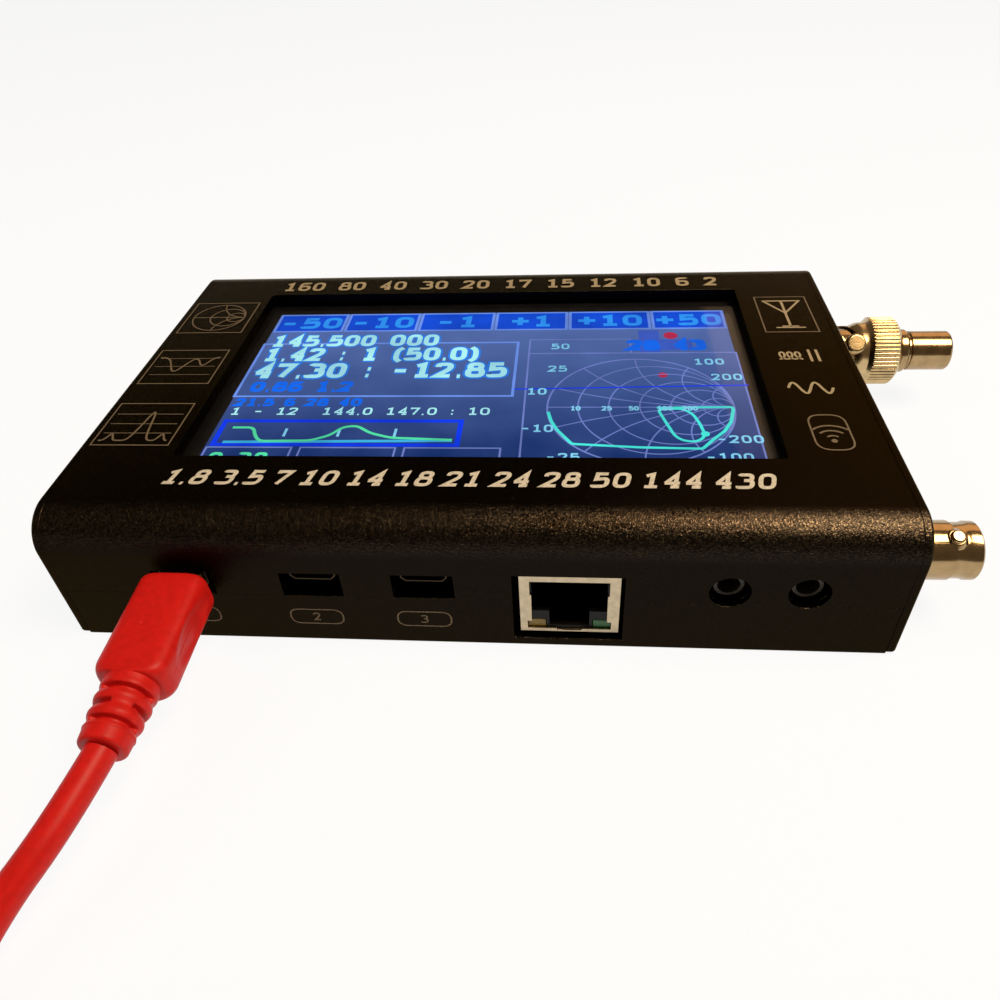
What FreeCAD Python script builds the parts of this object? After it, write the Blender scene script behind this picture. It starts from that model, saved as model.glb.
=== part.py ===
import FreeCAD, Part
import math
import os
import Sketcher
from FreeCAD import Placement, Rotation, Vector

# Touch-screen antenna analyzer: a split extruded aluminium case with two end plates, a display
# seen through a window in the roof, two stacked circuit boards, ports along the front wall,
# two bayonet jacks on the right end plate and a plugged-in power lead.
# Frame: X to the right, Y to the rear, Z up; the origin is the middle of the case's underside.
# All sizes are millimetres, angles are degrees.

SIZES = {
    # case
    "case_width": 136.0, "case_depth": 90.0, "case_height": 25.5,
    "plate_thickness": 1.5, "side_wall": 2.0, "roof_wall": 2.0, "floor_wall": 1.6,
    "top_round": 6.5, "base_chamfer": 0.25, "parting_height": 10.85,
    "plate_corner": 1.0, "plate_edge": 0.6,
    "tongue_width": 0.9, "tongue_height": 1.4, "fit_gap": 0.1,
    "rail_thickness": 1.0, "rail_reach": 1.6,
    "boss_radius": 3.0, "boss_inset": 5.0, "thread_bore": 1.25,
    "window_width": 101.0, "window_depth": 58.8, "window_centre": 2.1, "window_round": 0.6,
    "screw_shank": 1.2, "screw_head": 2.7, "screw_length": 8.0, "screw_hole": 1.6,
    "screw_recess": 0.9, "screw_sink": 0.05, "recess_width": 0.6, "recess_span": 2.8,
    # display
    "glass_width": 104.0, "glass_inset": 0.8, "glass_thickness": 0.9, "glass_gap": 0.1,
    "module_width": 105.5, "module_margin": 3.4, "module_thickness": 2.8, "module_centre": 1.3,
    "pad_width": 6.0, "pad_inset": 5.0, "flex_width": 28.0, "flex_centre": 30.0,
    "flex_thickness": 0.3, "flex_drop": 2.0, "flex_rise": 0.8, "flex_stub": 0.3, "flex_tuck": 2.0,
    "socket_height": 1.2, "socket_depth": 3.4, "socket_cheek": 1.5,
    # boards
    "board_thickness": 1.6, "board_left_gap": 14.0, "board_right_gap": 9.4, "board_top": 17.4,
    "slot_gap": 0.1, "board_gap": 0.2, "rf_clearance": 1.6,
    "rf_left": 10.0, "rf_right": 46.0, "rf_front": 20.0, "rf_rear": 35.0,
    "post_width": 5.0, "post_inset": 3.4, "post_bore": 1.25, "post_screw_head": 2.5,
    "post_head_height": 1.2, "post_head_top": 1.75, "post_screw_shank": 1.2,
    "post_screw_length": 4.0,
    "header_width": 2.5, "header_length": 40.0, "header_inset": 8.0,
    "can_width": 32.0, "can_depth": 30.0, "can_height": 4.0, "can_wall": 0.3,
    "chip_width": 13.0, "chip_height": 1.1, "chip_left": 20.0,
    "memory_first_left": 38.0, "memory_second_left": 4.0, "mixer_width": 10.0, "mixer_front": 2.0,
    "can_centre": 7.0, "card_left": 30.0, "card_rear": 30.0, "memory_width": 8.0,
    "memory_depth": 12.0, "card_width": 11.0, "card_length": 15.0, "card_thickness": 0.8,
    "card_slot_floor": 0.3, "card_stand_out": 0.2,
    "card_socket_width": 14.0, "card_socket_depth": 15.0, "card_socket_height": 1.9,
    "battery_width": 38.0, "battery_depth": 52.0, "battery_height": 6.5,
    "battery_from_edge": 30.0, "battery_rear": 34.0, "battery_pad": 0.8,
    "battery_pad_inset": 3.0, "battery_round": 2.5,
    # front ports
    "usb_spacing": 17.9, "mini_to_micro": 21.0, "mini_from_edge": 22.6,
    "usb_open_width": 9.8, "usb_open_top": 15.9, "port_cut": 12.0,
    "mini_width": 7.7, "mini_height": 3.9, "mini_length": 9.2, "mini_recess": 0.6,
    "micro_width": 7.5, "micro_height": 2.6, "micro_length": 5.6, "micro_recess": 1.4,
    "metal_wall": 0.3, "plug_gap": 0.2, "shell_bevel": 0.8, "shell_inner_bevel": 0.6,
    "tongue_recess": 0.8,
    "mini_tongue_width": 4.6, "mini_tongue_height": 0.9,
    "micro_tongue_width": 3.8, "micro_tongue_height": 0.6,
    "ethernet_centre": 16.4, "ethernet_width": 15.8, "ethernet_height": 13.1,
    "ethernet_length": 21.0, "ethernet_recess": 0.8, "ethernet_wall": 0.35,
    "ethernet_bar": 1.6, "ethernet_open_width": 17.4, "ethernet_open_centre": 16.2,
    "ethernet_open_low": 1.8, "ethernet_open_high": 16.2,
    "plug_hole_width": 12.0, "plug_hole_top_width": 12.5, "plug_hole_step": 3.0,
    "plug_hole_height": 7.0, "plug_hole_depth": 14.0,
    "latch_width": 6.4, "latch_height": 3.4, "latch_notch": 4.0,
    "lamp_width": 2.9, "lamp_height": 1.7, "lamp_length": 6.0, "lamp_from_side": 1.2,
    "lamp_base": 0.7, "contact_pitch": 1.27, "contact_width": 0.5, "contact_drop": 2.2,
    "contact_start": 3.0, "contact_gap": 0.05, "contact_thickness": 0.5,
    "audio_from_edge": 21.55, "audio_spacing": 11.7, "audio_height": 13.5, "audio_hole": 3.15,
    "audio_nose": 2.3, "audio_bore": 1.75, "audio_width": 6.2, "audio_length": 11.5,
    "audio_nose_length": 2.0, "audio_recess": 1.7,
    # power switch
    "switch_from_edge": 23.0, "switch_height": 12.75, "switch_bezel_length": 15.0,
    "switch_bezel_width": 10.5, "switch_bezel_height": 1.8, "bezel_chamfer": 0.6,
    "switch_cut_length": 13.2, "switch_cut_width": 8.8,
    "switch_depth": 9.0, "rocker_half_length": 5.6, "rocker_width": 6.8, "rocker_gap": 0.6,
    "rocker_tilt": 9.0, "rocker_pivot_depth": 3.2, "rocker_height": 2.2, "rocker_hub": 1.5,
    "rocker_crown": 1.2, "rocker_keel": 0.9,
    "switch_well": 7.0, "switch_tab_length": 3.0, "switch_tab_width": 4.0,
    "switch_tab_thickness": 0.8, "switch_tab_spacing": 7.0,
    # bayonet jacks
    "jack_height": 12.25, "front_jack_from_edge": 11.4, "rear_jack_from_edge": 16.7,
    "jack_reach": 11.7, "jack_radius": 4.8, "jack_bore": 4.1, "jack_thread": 4.75, "jack_tail": 9.0,
    "jack_waist_radius": 4.5, "waist_from_mouth": 4.3, "jack_bead_radius": 4.7,
    "bead_from_mouth": 1.5, "bead_slope": 0.5, "mouth_chamfer": 0.3, "flange_chamfer": 0.4,
    "contact_recess": 0.3,
    "jack_flange": 6.2, "jack_flange_height": 2.0, "jack_mouth_depth": 9.4,
    "lug_radius": 1.1, "lug_tip": 5.55, "lug_from_mouth": 4.1, "lug_round": 0.35,
    "lug_foot_radius": 1.2, "lug_foot_tip": 5.0, "lug_foot_drop": 0.7, "lug_foot_taper": 45.0,
    "front_lug_angle": 23.0, "rear_lug_angle": 46.0,
    "jack_core": 2.4, "jack_core_length": 4.6,
    "jack_pin": 1.05, "jack_pin_bore": 0.75, "jack_pin_tail": 3.0, "jack_seat_gap": 0.1,
    "nut_width": 11.0, "nut_height": 2.4, "washer_radius": 6.2, "washer_thickness": 0.6,
    # adapter on the rear jack
    "sleeve_from_mouth": 8.1, "sleeve_lip_radius": 5.3, "sleeve_slope_from_mouth": 4.3,
    "sleeve_step_from_mouth": 2.7, "sleeve_step_radius": 6.0, "sleeve_radius": 6.15,
    "ring_radius": 7.1, "ring_from_mouth": 1.2, "ring_end": 5.2, "ring_end_chamfer": 0.8,
    "ring_taper": 0.7, "ring_taper_radius": 4.9, "ring_gap": 0.15,
    "flute_radius": 0.4, "flute_depth": 0.22, "collar_radius": 5.5, "collar_start": 0.5,
    "collar_end": 2.2, "neck_radius": 4.3, "spigot_radius": 4.0, "spigot_bore": 3.3,
    "spigot_length": 7.6, "body_radius": 4.55, "body_start": 6.05, "body_end": 7.7,
    "body_chamfer": 0.4, "groove_radius": 3.75, "groove_width": 0.6, "barrel_radius": 4.12,
    "barrel_length": 8.2, "barrel_round": 0.5, "barrel_bore": 3.45, "barrel_depth": 7.4,
    "core_bore": 2.0,
    "phono_bore": 1.6, "phono_depth": 9.0, "pin_radius": 0.68, "pin_length": 6.6,
    "channel_half": 1.5, "channel_radius": 5.75, "bayonet_draw": 2.0, "bayonet_turn": 60.0,
    "button_radius": 2.1, "button_tip": 6.85, "button_round": 0.6,
    "button_root": 0.2, "channel_root": 4.6, "seat_gap": 0.04, "channel_skin": 0.05,
    "core_wall": 0.9, "insulator_recess": 0.6, "pin_recess": 0.8, "pin_point": 0.41,
    "pin_taper": 0.5,
    # power lead
    "grip_width": 10.8, "grip_height": 8.0, "grip_length": 18.3, "grip_round": 2.2,
    "grip_stand_off": 1.4, "plug_reach": 7.0, "grip_end_round": 1.6,
    "plug_droop": 2.3, "plug_pivot": 4.5, "plug_bevel": 0.6, "plug_inner_bevel": 0.4,
    "insert_gap": 0.05, "insert_side": 0.5, "insert_recess": 0.3,
    "boot_radius": 3.7, "boot_slot_radius": 3.1, "boot_length": 10.2, "boot_slot": 1.0,
    "boot_slot_pitch": 2.2, "boot_collar_radius": 4.25, "boot_collar_length": 2.0,
    "boot_collar_round": 0.4,
    "cord_diameter": 4.5, "coil_mean": 50.0, "coil_width": 13.5, "coil_height": 9.0,
    "coil_bevel": 2.0, "coil_centre_left": 83.0, "coil_centre_front": 117.0,
    "tie_angle": -60.0,
    "tie_width": 5.0, "tie_thickness": 0.6, "tie_gap": 0.3,
    "far_shell_width": 12.0, "far_shell_height": 4.5, "far_shell_length": 12.0,
    "far_grip_width": 15.6, "far_grip_height": 8.0, "far_grip_length": 24.0,
    "far_boot_length": 9.0, "far_boot_radius": 3.4, "far_grip_round": 2.0,
    "far_tongue_width": 10.8, "far_tongue_height": 1.9, "far_tongue_recess": 0.4,
    "far_plug_left": 109.3, "far_plug_front": 73.1, "far_plug_turn": 82.2,
}

# ---------------------------------------------------------------- lengths tied to the sheet

doc = FreeCAD.newDocument("Analyzer")
sheet = doc.addObject("Spreadsheet::Sheet", "Sizes")
for row, (name, number) in enumerate(SIZES.items(), 1):
    sheet.set(f"A{row}", name)
    sheet.set(f"B{row}", str(number))
    sheet.setAlias(f"B{row}", name)
doc.recompute()


class Length:
    """A number together with the sheet formula that it comes from."""

    def __init__(self, number, formula):
        self.number = float(number)
        self.formula = formula

    def __add__(self, other):
        other = as_length(other)
        return Length(self.number + other.number, f"({self.formula} + {other.formula})")

    def __sub__(self, other):
        other = as_length(other)
        return Length(self.number - other.number, f"({self.formula} - {other.formula})")

    def __mul__(self, factor):
        return Length(self.number * factor, f"({self.formula} * {factor!r})")

    def __truediv__(self, factor):
        return Length(self.number / factor, f"({self.formula} / {factor!r})")

    def __neg__(self):
        return self * -1.0

    def __radd__(self, other):
        return as_length(other) + self

    def __rsub__(self, other):
        return as_length(other) - self

    __rmul__ = __mul__


def as_length(value):
    return value if isinstance(value, Length) else Length(value, repr(float(value)))


class Sheet:
    """Gives each alias of the sheet as a Length."""

    def __getattr__(self, name):
        return Length(sheet.get(name), f"Sizes.{name}")


size = Sheet()

# ---------------------------------------------------------------- modelling helpers

FLAT = {"XY": "XY_Plane", "XZ": "XZ_Plane", "YZ": "YZ_Plane"}


def bind(thing, path, length):
    """Sets a property to a length and ties it to the sheet."""
    length = as_length(length)
    thing.setExpression(path, length.formula)


def new_body(label):
    body = doc.addObject("PartDesign::Body", label)
    body.Label = label
    return body


def new_sketch(body, plane, offset=0.0):
    """A sketch on one of the body's own origin planes, moved along that plane's normal."""
    sketch = body.newObject("Sketcher::SketchObject", f"{body.Label}_sketch")
    origin_plane = [item for item in body.Origin.OriginFeatures if item.Role == FLAT[plane]][0]
    sketch.AttachmentSupport = [(origin_plane, "")]
    sketch.MapMode = "FlatFace"
    offset = as_length(offset)
    sketch.AttachmentOffset = Placement(Vector(0, 0, offset.number), Rotation())
    bind(sketch, "AttachmentOffset.Base.z", offset)
    return sketch


def pin_point(sketch, geometry, corner, point):
    """Ties a point of a sketch to its two distances from the origin."""
    for kind, distance in zip(("DistanceX", "DistanceY"), point):
        distance = as_length(distance)
        constraint = Sketcher.Constraint(kind, -1, 1, geometry, corner, distance.number)
        index = sketch.addConstraint(constraint)
        sketch.setExpression(f"Constraints[{index}]", distance.formula)


def draw_polygon(sketch, points):
    points = [(as_length(u), as_length(v)) for u, v in points]
    spots = [Vector(u.number, v.number, 0) for u, v in points]
    first = sketch.GeometryCount
    count = len(points)
    for index in range(count):
        sketch.addGeometry(Part.LineSegment(spots[index], spots[(index + 1) % count]), False)
    for index in range(count):
        following = first + (index + 1) % count
        sketch.addConstraint(Sketcher.Constraint("Coincident", first + index, 2, following, 1))
    for index, point in enumerate(points):
        pin_point(sketch, first + index, 1, point)


def draw_circle(sketch, u, v, radius):
    u, v, radius = as_length(u), as_length(v), as_length(radius)
    circle = Part.Circle(Vector(u.number, v.number, 0), Vector(0, 0, 1), radius.number)
    index = sketch.addGeometry(circle, False)
    pin_point(sketch, index, 3, (u, v))
    constraint = sketch.addConstraint(Sketcher.Constraint("Radius", index, radius.number))
    sketch.setExpression(f"Constraints[{constraint}]", radius.formula)


def draw(sketch, outlines):
    """An outline is a list of corners, or a (u, v, radius) circle."""
    for outline in outlines:
        if isinstance(outline, tuple):
            draw_circle(sketch, *outline)
        else:
            draw_polygon(sketch, outline)


def rectangle(u_low, v_low, u_high, v_high):
    return [(u_low, v_low), (u_high, v_low), (u_high, v_high), (u_low, v_high)]


def centred(u, v, width, height):
    return rectangle(u - width / 2, v - height / 2, u + width / 2, v + height / 2)


def finish_feature(body, feature):
    doc.recompute()
    body.Tip = feature
    return feature


def pad(body, plane, low, high, outlines):
    """Adds the outlines between two stations along the world axis that the plane faces."""
    low, high = as_length(low), as_length(high)
    sketch = new_sketch(body, plane, -high if plane == "XZ" else low)
    draw(sketch, outlines)
    feature = body.newObject("PartDesign::Pad", f"{body.Label}_pad")
    feature.Profile = sketch
    bind(feature, "Length", high - low)
    return finish_feature(body, feature)


def pocket(body, plane, low, high, outlines):
    """Cuts the outlines away between two stations, and checks that material went."""
    low, high = as_length(low), as_length(high)
    before = body.Shape.Volume
    sketch = new_sketch(body, plane, -low if plane == "XZ" else high)
    draw(sketch, outlines)
    feature = body.newObject("PartDesign::Pocket", f"{body.Label}_pocket")
    feature.Profile = sketch
    bind(feature, "Length", high - low)
    finish_feature(body, feature)
    if not body.Shape.Volume < before:
        raise ValueError(f"{body.Label}: a pocket removed nothing")
    return feature


def turn_on_x(body, outline, cut=False):
    """Turns an (axial, radial) outline about the body's X axis, adding or cutting it."""
    before = body.Shape.Volume if cut else 0.0
    sketch = new_sketch(body, "XY")
    draw(sketch, [outline])
    kind = "PartDesign::Groove" if cut else "PartDesign::Revolution"
    feature = body.newObject(kind, f"{body.Label}_turned")
    feature.Profile = sketch
    feature.ReferenceAxis = (sketch, ["H_Axis"])
    feature.Angle = 360.0
    finish_feature(body, feature)
    if cut and not body.Shape.Volume < before:
        raise ValueError(f"{body.Label}: a groove removed nothing")
    return feature


def edges_where(shape, test):
    """Names of the edges whose ends and middle all pass a test on their position."""
    names = []
    for number, edge in enumerate(shape.Edges, 1):
        spots = [vertex.Point for vertex in edge.Vertexes]
        spots.append(edge.valueAt((edge.FirstParameter + edge.LastParameter) / 2))
        if all(test(spot) for spot in spots):
            names.append(f"Edge{number}")
    return names


def dress(body, kind, amount, test):
    """Fillets or chamfers the edges of the body that pass the test."""
    base = body.Tip
    names = edges_where(base.Shape, test)
    if not names:
        raise ValueError(f"{body.Label}: no edge to {kind}")
    feature = body.newObject(f"PartDesign::{kind}", f"{body.Label}_{kind}")
    feature.Base = (base, names)
    bind(feature, "Radius" if kind == "Fillet" else "Size", amount)
    return finish_feature(body, feature)


def close(first, second):
    return abs(first - as_length(second).number) < 1e-4


def place(body, x=0.0, y=0.0, z=0.0, axis=None, angle=0.0):
    """Puts a body at a place tied to the sheet, turned by an angle about an axis."""
    turn = Rotation(Vector(*axis), as_length(angle).number) if axis else Rotation()
    spot = [as_length(value) for value in (x, y, z)]
    body.Placement = Placement(Vector(*[value.number for value in spot]), turn)
    for name, value in zip("xyz", spot):
        bind(body, f"Placement.Base.{name}", value)
    if axis and isinstance(angle, Length):
        bind(body, "Placement.Rotation.Angle", angle)


def block(label, low, high):
    """A rectangular piece between two opposite corners."""
    box = doc.addObject("Part::Box", label)
    box.Label = label
    for name, start, end in zip(("Length", "Width", "Height"), low, high):
        bind(box, name, as_length(end) - start)
    place(box, *low)
    return box


def group(label, pieces):
    """Like pieces that share one node, each a solid of its own."""
    compound = doc.addObject("Part::Compound", label)
    compound.Label = label
    compound.Links = pieces
    return compound


nodes = []


def keep(piece):
    nodes.append(piece)
    return piece


# ---------------------------------------------------------------- places shared by the pieces

half_width = size.case_width / 2
half_depth = size.case_depth / 2
shell_end = half_width - size.plate_thickness
wall_face = half_depth - size.side_wall
ceiling = size.case_height - size.roof_wall
boss_side = half_depth - size.boss_inset
boss_spots = [(side * boss_side, height) for side in (-1.0, 1.0)
              for height in (size.boss_inset, size.case_height - size.boss_inset)]

glass_top = ceiling
glass_base = glass_top - size.glass_thickness
module_top = glass_base - size.glass_gap
module_base = module_top - size.module_thickness
mini_centre = half_width - size.mini_from_edge
battery_centre = half_width - size.battery_from_edge
board_base = size.board_top - size.board_thickness
board_side = wall_face - size.board_gap
rf_base = size.floor_wall + size.rf_clearance
rf_top = rf_base + size.board_thickness
board_left = half_width - size.board_left_gap
board_right = half_width - size.board_right_gap
module_depth = (boss_side - size.boss_radius - size.module_margin) * 2
glass_depth = module_depth - size.glass_inset * 2

first_micro = size.mini_to_micro - mini_centre
micro_spots = [first_micro, first_micro + size.usb_spacing]
audio_centre = half_width - size.audio_from_edge
audio_spots = [audio_centre + size.audio_spacing * side / 2 for side in (-1.0, 1.0)]
mini_axis = board_base - size.mini_height / 2
ethernet_base = board_base - size.ethernet_height
ethernet_face = size.ethernet_recess - half_depth

switch_centre = half_depth - size.switch_from_edge
jack_sides = {"front": size.front_jack_from_edge - half_depth,
              "rear": half_depth - size.rear_jack_from_edge}
jack_mouth = half_width + size.jack_reach

# counts and shape shares, which are not lengths
FLUTES = 54         # grooves of the knurl
CONTACTS = 8        # wires of the network jack
DISH_MIDDLE = 0.35  # the rocker's dish, as shares of its tilted half length
DISH_END = 0.6
ROUND_STEP = 0.3    # where the single corner of the barrel's rounded end lies
BEND_SHARE = 0.45   # how much of the shorter run each bend of the lead takes

# ---------------------------------------------------------------- case


def port_outlines(usb_low):
    """The openings in the front wall, drawn on the XZ plane."""
    usb = [rectangle(x - size.usb_open_width / 2, usb_low, x + size.usb_open_width / 2,
                     size.usb_open_top) for x in [-mini_centre] + micro_spots]
    half = size.ethernet_open_width / 2
    ethernet = rectangle(size.ethernet_open_centre - half, size.ethernet_open_low,
                         size.ethernet_open_centre + half, size.ethernet_open_high)
    audio = [(x, size.audio_height, size.audio_hole) for x in audio_spots]
    return usb + [ethernet] + audio


def cut_ports(body, usb_low):
    pocket(body, "XZ", -half_depth - 1.0, size.port_cut - half_depth, port_outlines(usb_low))


def screw_channels(body, height):
    """Round channels along both side walls that the end plate screws cut their thread in."""
    spots = [(-boss_side, height), (boss_side, height)]
    pad(body, "YZ", -shell_end, shell_end, [(y, z, size.boss_radius) for y, z in spots])
    pocket(body, "YZ", -shell_end, shell_end, [(y, z, size.thread_bore) for y, z in spots])


def make_top_shell():
    """Upper extrusion: roof with the display window, side walls with the board rails."""
    body = new_body("top_shell")
    rebate = wall_face + size.tongue_width + size.fit_gap
    rebate_top = size.parting_height + size.tongue_height + size.fit_gap
    right = [(half_depth, size.case_height), (half_depth, size.parting_height),
             (rebate, size.parting_height), (rebate, rebate_top),
             (wall_face, rebate_top), (wall_face, ceiling)]
    left = [(-y, z) for y, z in reversed(right)]
    pad(body, "YZ", -shell_end, shell_end, [right + left])
    dress(body, "Fillet", size.top_round,
          lambda spot: close(abs(spot.y), half_depth) and close(spot.z, size.case_height))
    dress(body, "Fillet", size.top_round - size.side_wall,
          lambda spot: close(abs(spot.y), wall_face) and close(spot.z, ceiling))
    rail_root = half_depth - size.side_wall / 2
    rail_edge = wall_face - size.rail_reach
    rails = []
    for low in (size.board_top + size.slot_gap,
                board_base - size.slot_gap - size.rail_thickness):
        rails.append(rectangle(rail_edge, low, rail_root, low + size.rail_thickness))
        rails.append(rectangle(-rail_root, low, -rail_edge, low + size.rail_thickness))
    pad(body, "YZ", -shell_end, shell_end, rails)
    screw_channels(body, size.case_height - size.boss_inset)
    window = centred(as_length(0), size.window_centre, size.window_width, size.window_depth)
    pocket(body, "XY", ceiling - 1.0, size.case_height + 1.0, [window])
    dress(body, "Fillet", size.window_round,
          lambda spot: close(abs(spot.x), size.window_width / 2)
          and close(abs(spot.y - size.window_centre.number), size.window_depth / 2))
    cut_ports(body, size.parting_height - 1.0)
    return keep(body)


def make_bottom_shell():
    """Lower extrusion: floor and side walls, whose tongues locate the upper one."""
    body = new_body("bottom_shell")
    tongue_face = wall_face + size.tongue_width
    tongue_top = size.parting_height + size.tongue_height
    right = [(half_depth - size.base_chamfer, as_length(0)), (half_depth, size.base_chamfer),
             (half_depth, size.parting_height), (tongue_face, size.parting_height),
             (tongue_face, tongue_top), (wall_face, tongue_top), (wall_face, size.floor_wall)]
    left = [(-y, z) for y, z in reversed(right)]
    pad(body, "YZ", -shell_end, shell_end, [right + left])
    screw_channels(body, size.boss_inset)
    cut_ports(body, size.parting_height)
    return keep(body)


def make_end_plate(label, side, openings):
    """Flat plate of the case's own outline, countersunk for four screws."""
    body = new_body(label)
    outline = rectangle(-half_depth, as_length(0), half_depth, size.case_height)
    low, high = sorted((side * shell_end, side * half_width), key=lambda length: length.number)
    pad(body, "YZ", low, high, [outline])
    dress(body, "Fillet", size.top_round,
          lambda spot: close(abs(spot.y), half_depth) and close(spot.z, size.case_height))
    dress(body, "Fillet", size.plate_corner,
          lambda spot: close(abs(spot.y), half_depth) and close(spot.z, 0.0))
    dress(body, "Fillet", size.plate_edge, lambda spot: close(spot.x, side * half_width))
    holes = [(y, z, size.screw_hole) for y, z in boss_spots]
    pocket(body, "YZ", low, high, holes + openings)
    countersink = size.screw_head + size.fit_gap - size.screw_hole
    dress(body, "Chamfer", countersink,
          lambda spot: close(spot.x, side * half_width)
          and any(abs(math.hypot(spot.y - y.number, spot.z - z.number)
                      - size.screw_hole.number) < 1e-3 for y, z in boss_spots))
    return keep(body)


def make_plate_screws(label, side):
    """Countersunk screws, cross recessed, flush with the outside of the plate."""
    screws = []
    outer = half_width - size.screw_sink
    cone = size.screw_head - size.screw_shank
    for number, (y, z) in enumerate(boss_spots, 1):
        body = new_body(f"{label}_{number}")
        turn_on_x(body, [(outer - size.screw_length, as_length(0)), (outer, as_length(0)),
                         (outer, size.screw_head), (outer - cone, size.screw_shank),
                         (outer - size.screw_length, size.screw_shank)])
        zero = as_length(0)
        for arm in (centred(zero, zero, size.recess_span, size.recess_width),
                    centred(zero, zero, size.recess_width, size.recess_span)):
            pocket(body, "YZ", outer - size.screw_recess, outer + 0.5, [arm])
        if side > 0:
            place(body, 0.0, y, z)
        else:
            place(body, 0.0, y, z, (0, 0, 1), 180.0)
        screws.append(body)
    return keep(group(label, screws))


# ---------------------------------------------------------------- display


def make_display():
    """Cover glass under the roof, the display behind it and its pads on the board."""
    half_glass = size.glass_width / 2
    front = size.module_centre - glass_depth / 2
    keep(block("touch_glass", (-half_glass, front, glass_base),
               (half_glass, front + glass_depth, glass_top)))
    module = new_body("display_module")
    frame = centred(as_length(0), size.module_centre, size.module_width, module_depth)
    pad(module, "XY", module_base, module_top, [frame])
    dress(module, "Fillet", as_length(1.0),
          lambda spot: close(abs(spot.x), size.module_width / 2)
          and close(abs(spot.y - size.module_centre.number), module_depth / 2))
    keep(module)
    half_module = size.module_width / 2
    pads = []
    for number, side in enumerate((-1.0, 1.0), 1):
        inner, outer = sorted((side * half_module, side * (half_module - size.pad_width)),
                              key=lambda length: length.number)
        low = size.module_centre - module_depth / 2 + size.pad_inset
        pads.append(block(f"display_pad_{number}", (inner, low, size.board_top),
                          (outer, low + module_depth - size.pad_inset * 2, module_base)))
    keep(group("display_pads", pads))


def make_display_flex():
    """Flat cable that folds from the rear edge of the display to the board."""
    rear = size.module_centre.number + module_depth.number / 2
    top = module_base.number + size.flex_rise.number
    drop = size.flex_drop.number
    start = Vector(0, rear, top)
    bend = Vector(0, rear + size.flex_stub.number, top)
    middle = bend + Vector(0, drop / 2, -drop / 2)
    back = bend + Vector(0, 0, -drop)
    end = Vector(0, rear - size.flex_tuck.number, top - drop)
    path = Part.Wire([Part.LineSegment(start, bend).toShape(),
                      Part.Arc(bend, middle, back).toShape(),
                      Part.LineSegment(back, end).toShape()])
    half = size.flex_thickness.number / 2
    left = -size.flex_centre.number - size.flex_width.number / 2
    right = left + size.flex_width.number
    corners = [Vector(x, start.y, start.z + dz)
               for x, dz in ((left, -half), (right, -half), (right, half), (left, half))]
    section = Part.Wire(Part.makePolygon(corners + corners[:1]).Edges)
    piece = doc.addObject("Part::Feature", "display_flex")
    piece.Label = "display_flex"
    piece.Shape = path.makePipeShell([section], True, False)
    keep(piece)
    socket_rear = size.module_centre + module_depth / 2 - size.flex_tuck
    half_socket = size.flex_width / 2 + size.socket_cheek
    keep(block("flex_socket",
               (-size.flex_centre - half_socket, socket_rear - size.socket_depth, size.board_top),
               (-size.flex_centre + half_socket, socket_rear,
                size.board_top + size.socket_height)))


# ---------------------------------------------------------------- boards


def post_spots():
    """Corners of the radio board where the posts stand."""
    left, right = -size.rf_left + size.post_inset, size.rf_right - size.post_inset
    front, rear = -size.rf_front + size.post_inset, size.rf_rear - size.post_inset
    return [(left, front), (right, front), (left, rear), (right, rear)]


def make_main_board():
    body = new_body("main_board")
    outline = rectangle(-board_left, -board_side, board_right, board_side)
    pad(body, "XY", board_base, size.board_top, [outline])
    holes = [(x, y, size.post_screw_shank + size.fit_gap * 2) for x, y in post_spots()]
    pocket(body, "XY", board_base, size.board_top, holes)
    return keep(body)


def make_rf_board():
    body = new_body("rf_board")
    outline = rectangle(-size.rf_left, -size.rf_front, size.rf_right, size.rf_rear)
    pad(body, "XY", rf_base, rf_top, [outline])
    holes = [(x, y, size.post_screw_shank + size.fit_gap * 2) for x, y in post_spots()]
    pocket(body, "XY", rf_base, rf_top, holes)
    return keep(body)


def hexagon(width):
    """Corners of a hexagon, given the width across its flats."""
    radius = width / math.sqrt(3.0)
    return [(radius * math.cos(math.radians(60 * n)), radius * math.sin(math.radians(60 * n)))
            for n in range(6)]


def make_posts():
    """Hexagon posts that hold the radio board under the main board, and their screws."""
    posts, screws = [], []
    for number, (x, y) in enumerate(post_spots(), 1):
        post = new_body(f"board_post_{number}")
        pad(post, "XY", rf_top, board_base, [hexagon(size.post_width)])
        pocket(post, "XY", rf_top, board_base, [(0.0, 0.0, size.post_bore)])
        place(post, x, y)
        posts.append(post)
        for end, seat, side in (("upper", size.board_top, 1.0), ("lower", rf_base, -1.0)):
            screw = new_body(f"board_screw_{end}_{number}")
            reach = size.board_thickness + size.post_screw_length
            turn_on_x(screw, [(-reach, as_length(0)), (size.post_head_height, as_length(0)),
                              (size.post_head_height, size.post_head_top),
                              (size.post_head_height * 0.5, size.post_screw_head),
                              (as_length(0), size.post_screw_head),
                              (as_length(0), size.post_screw_shank),
                              (-reach, size.post_screw_shank)])
            place(screw, x, y, seat, (0, 1, 0), -90.0 * side)
            screws.append(screw)
    keep(group("board_posts", posts))
    keep(group("board_screws", screws))


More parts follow.
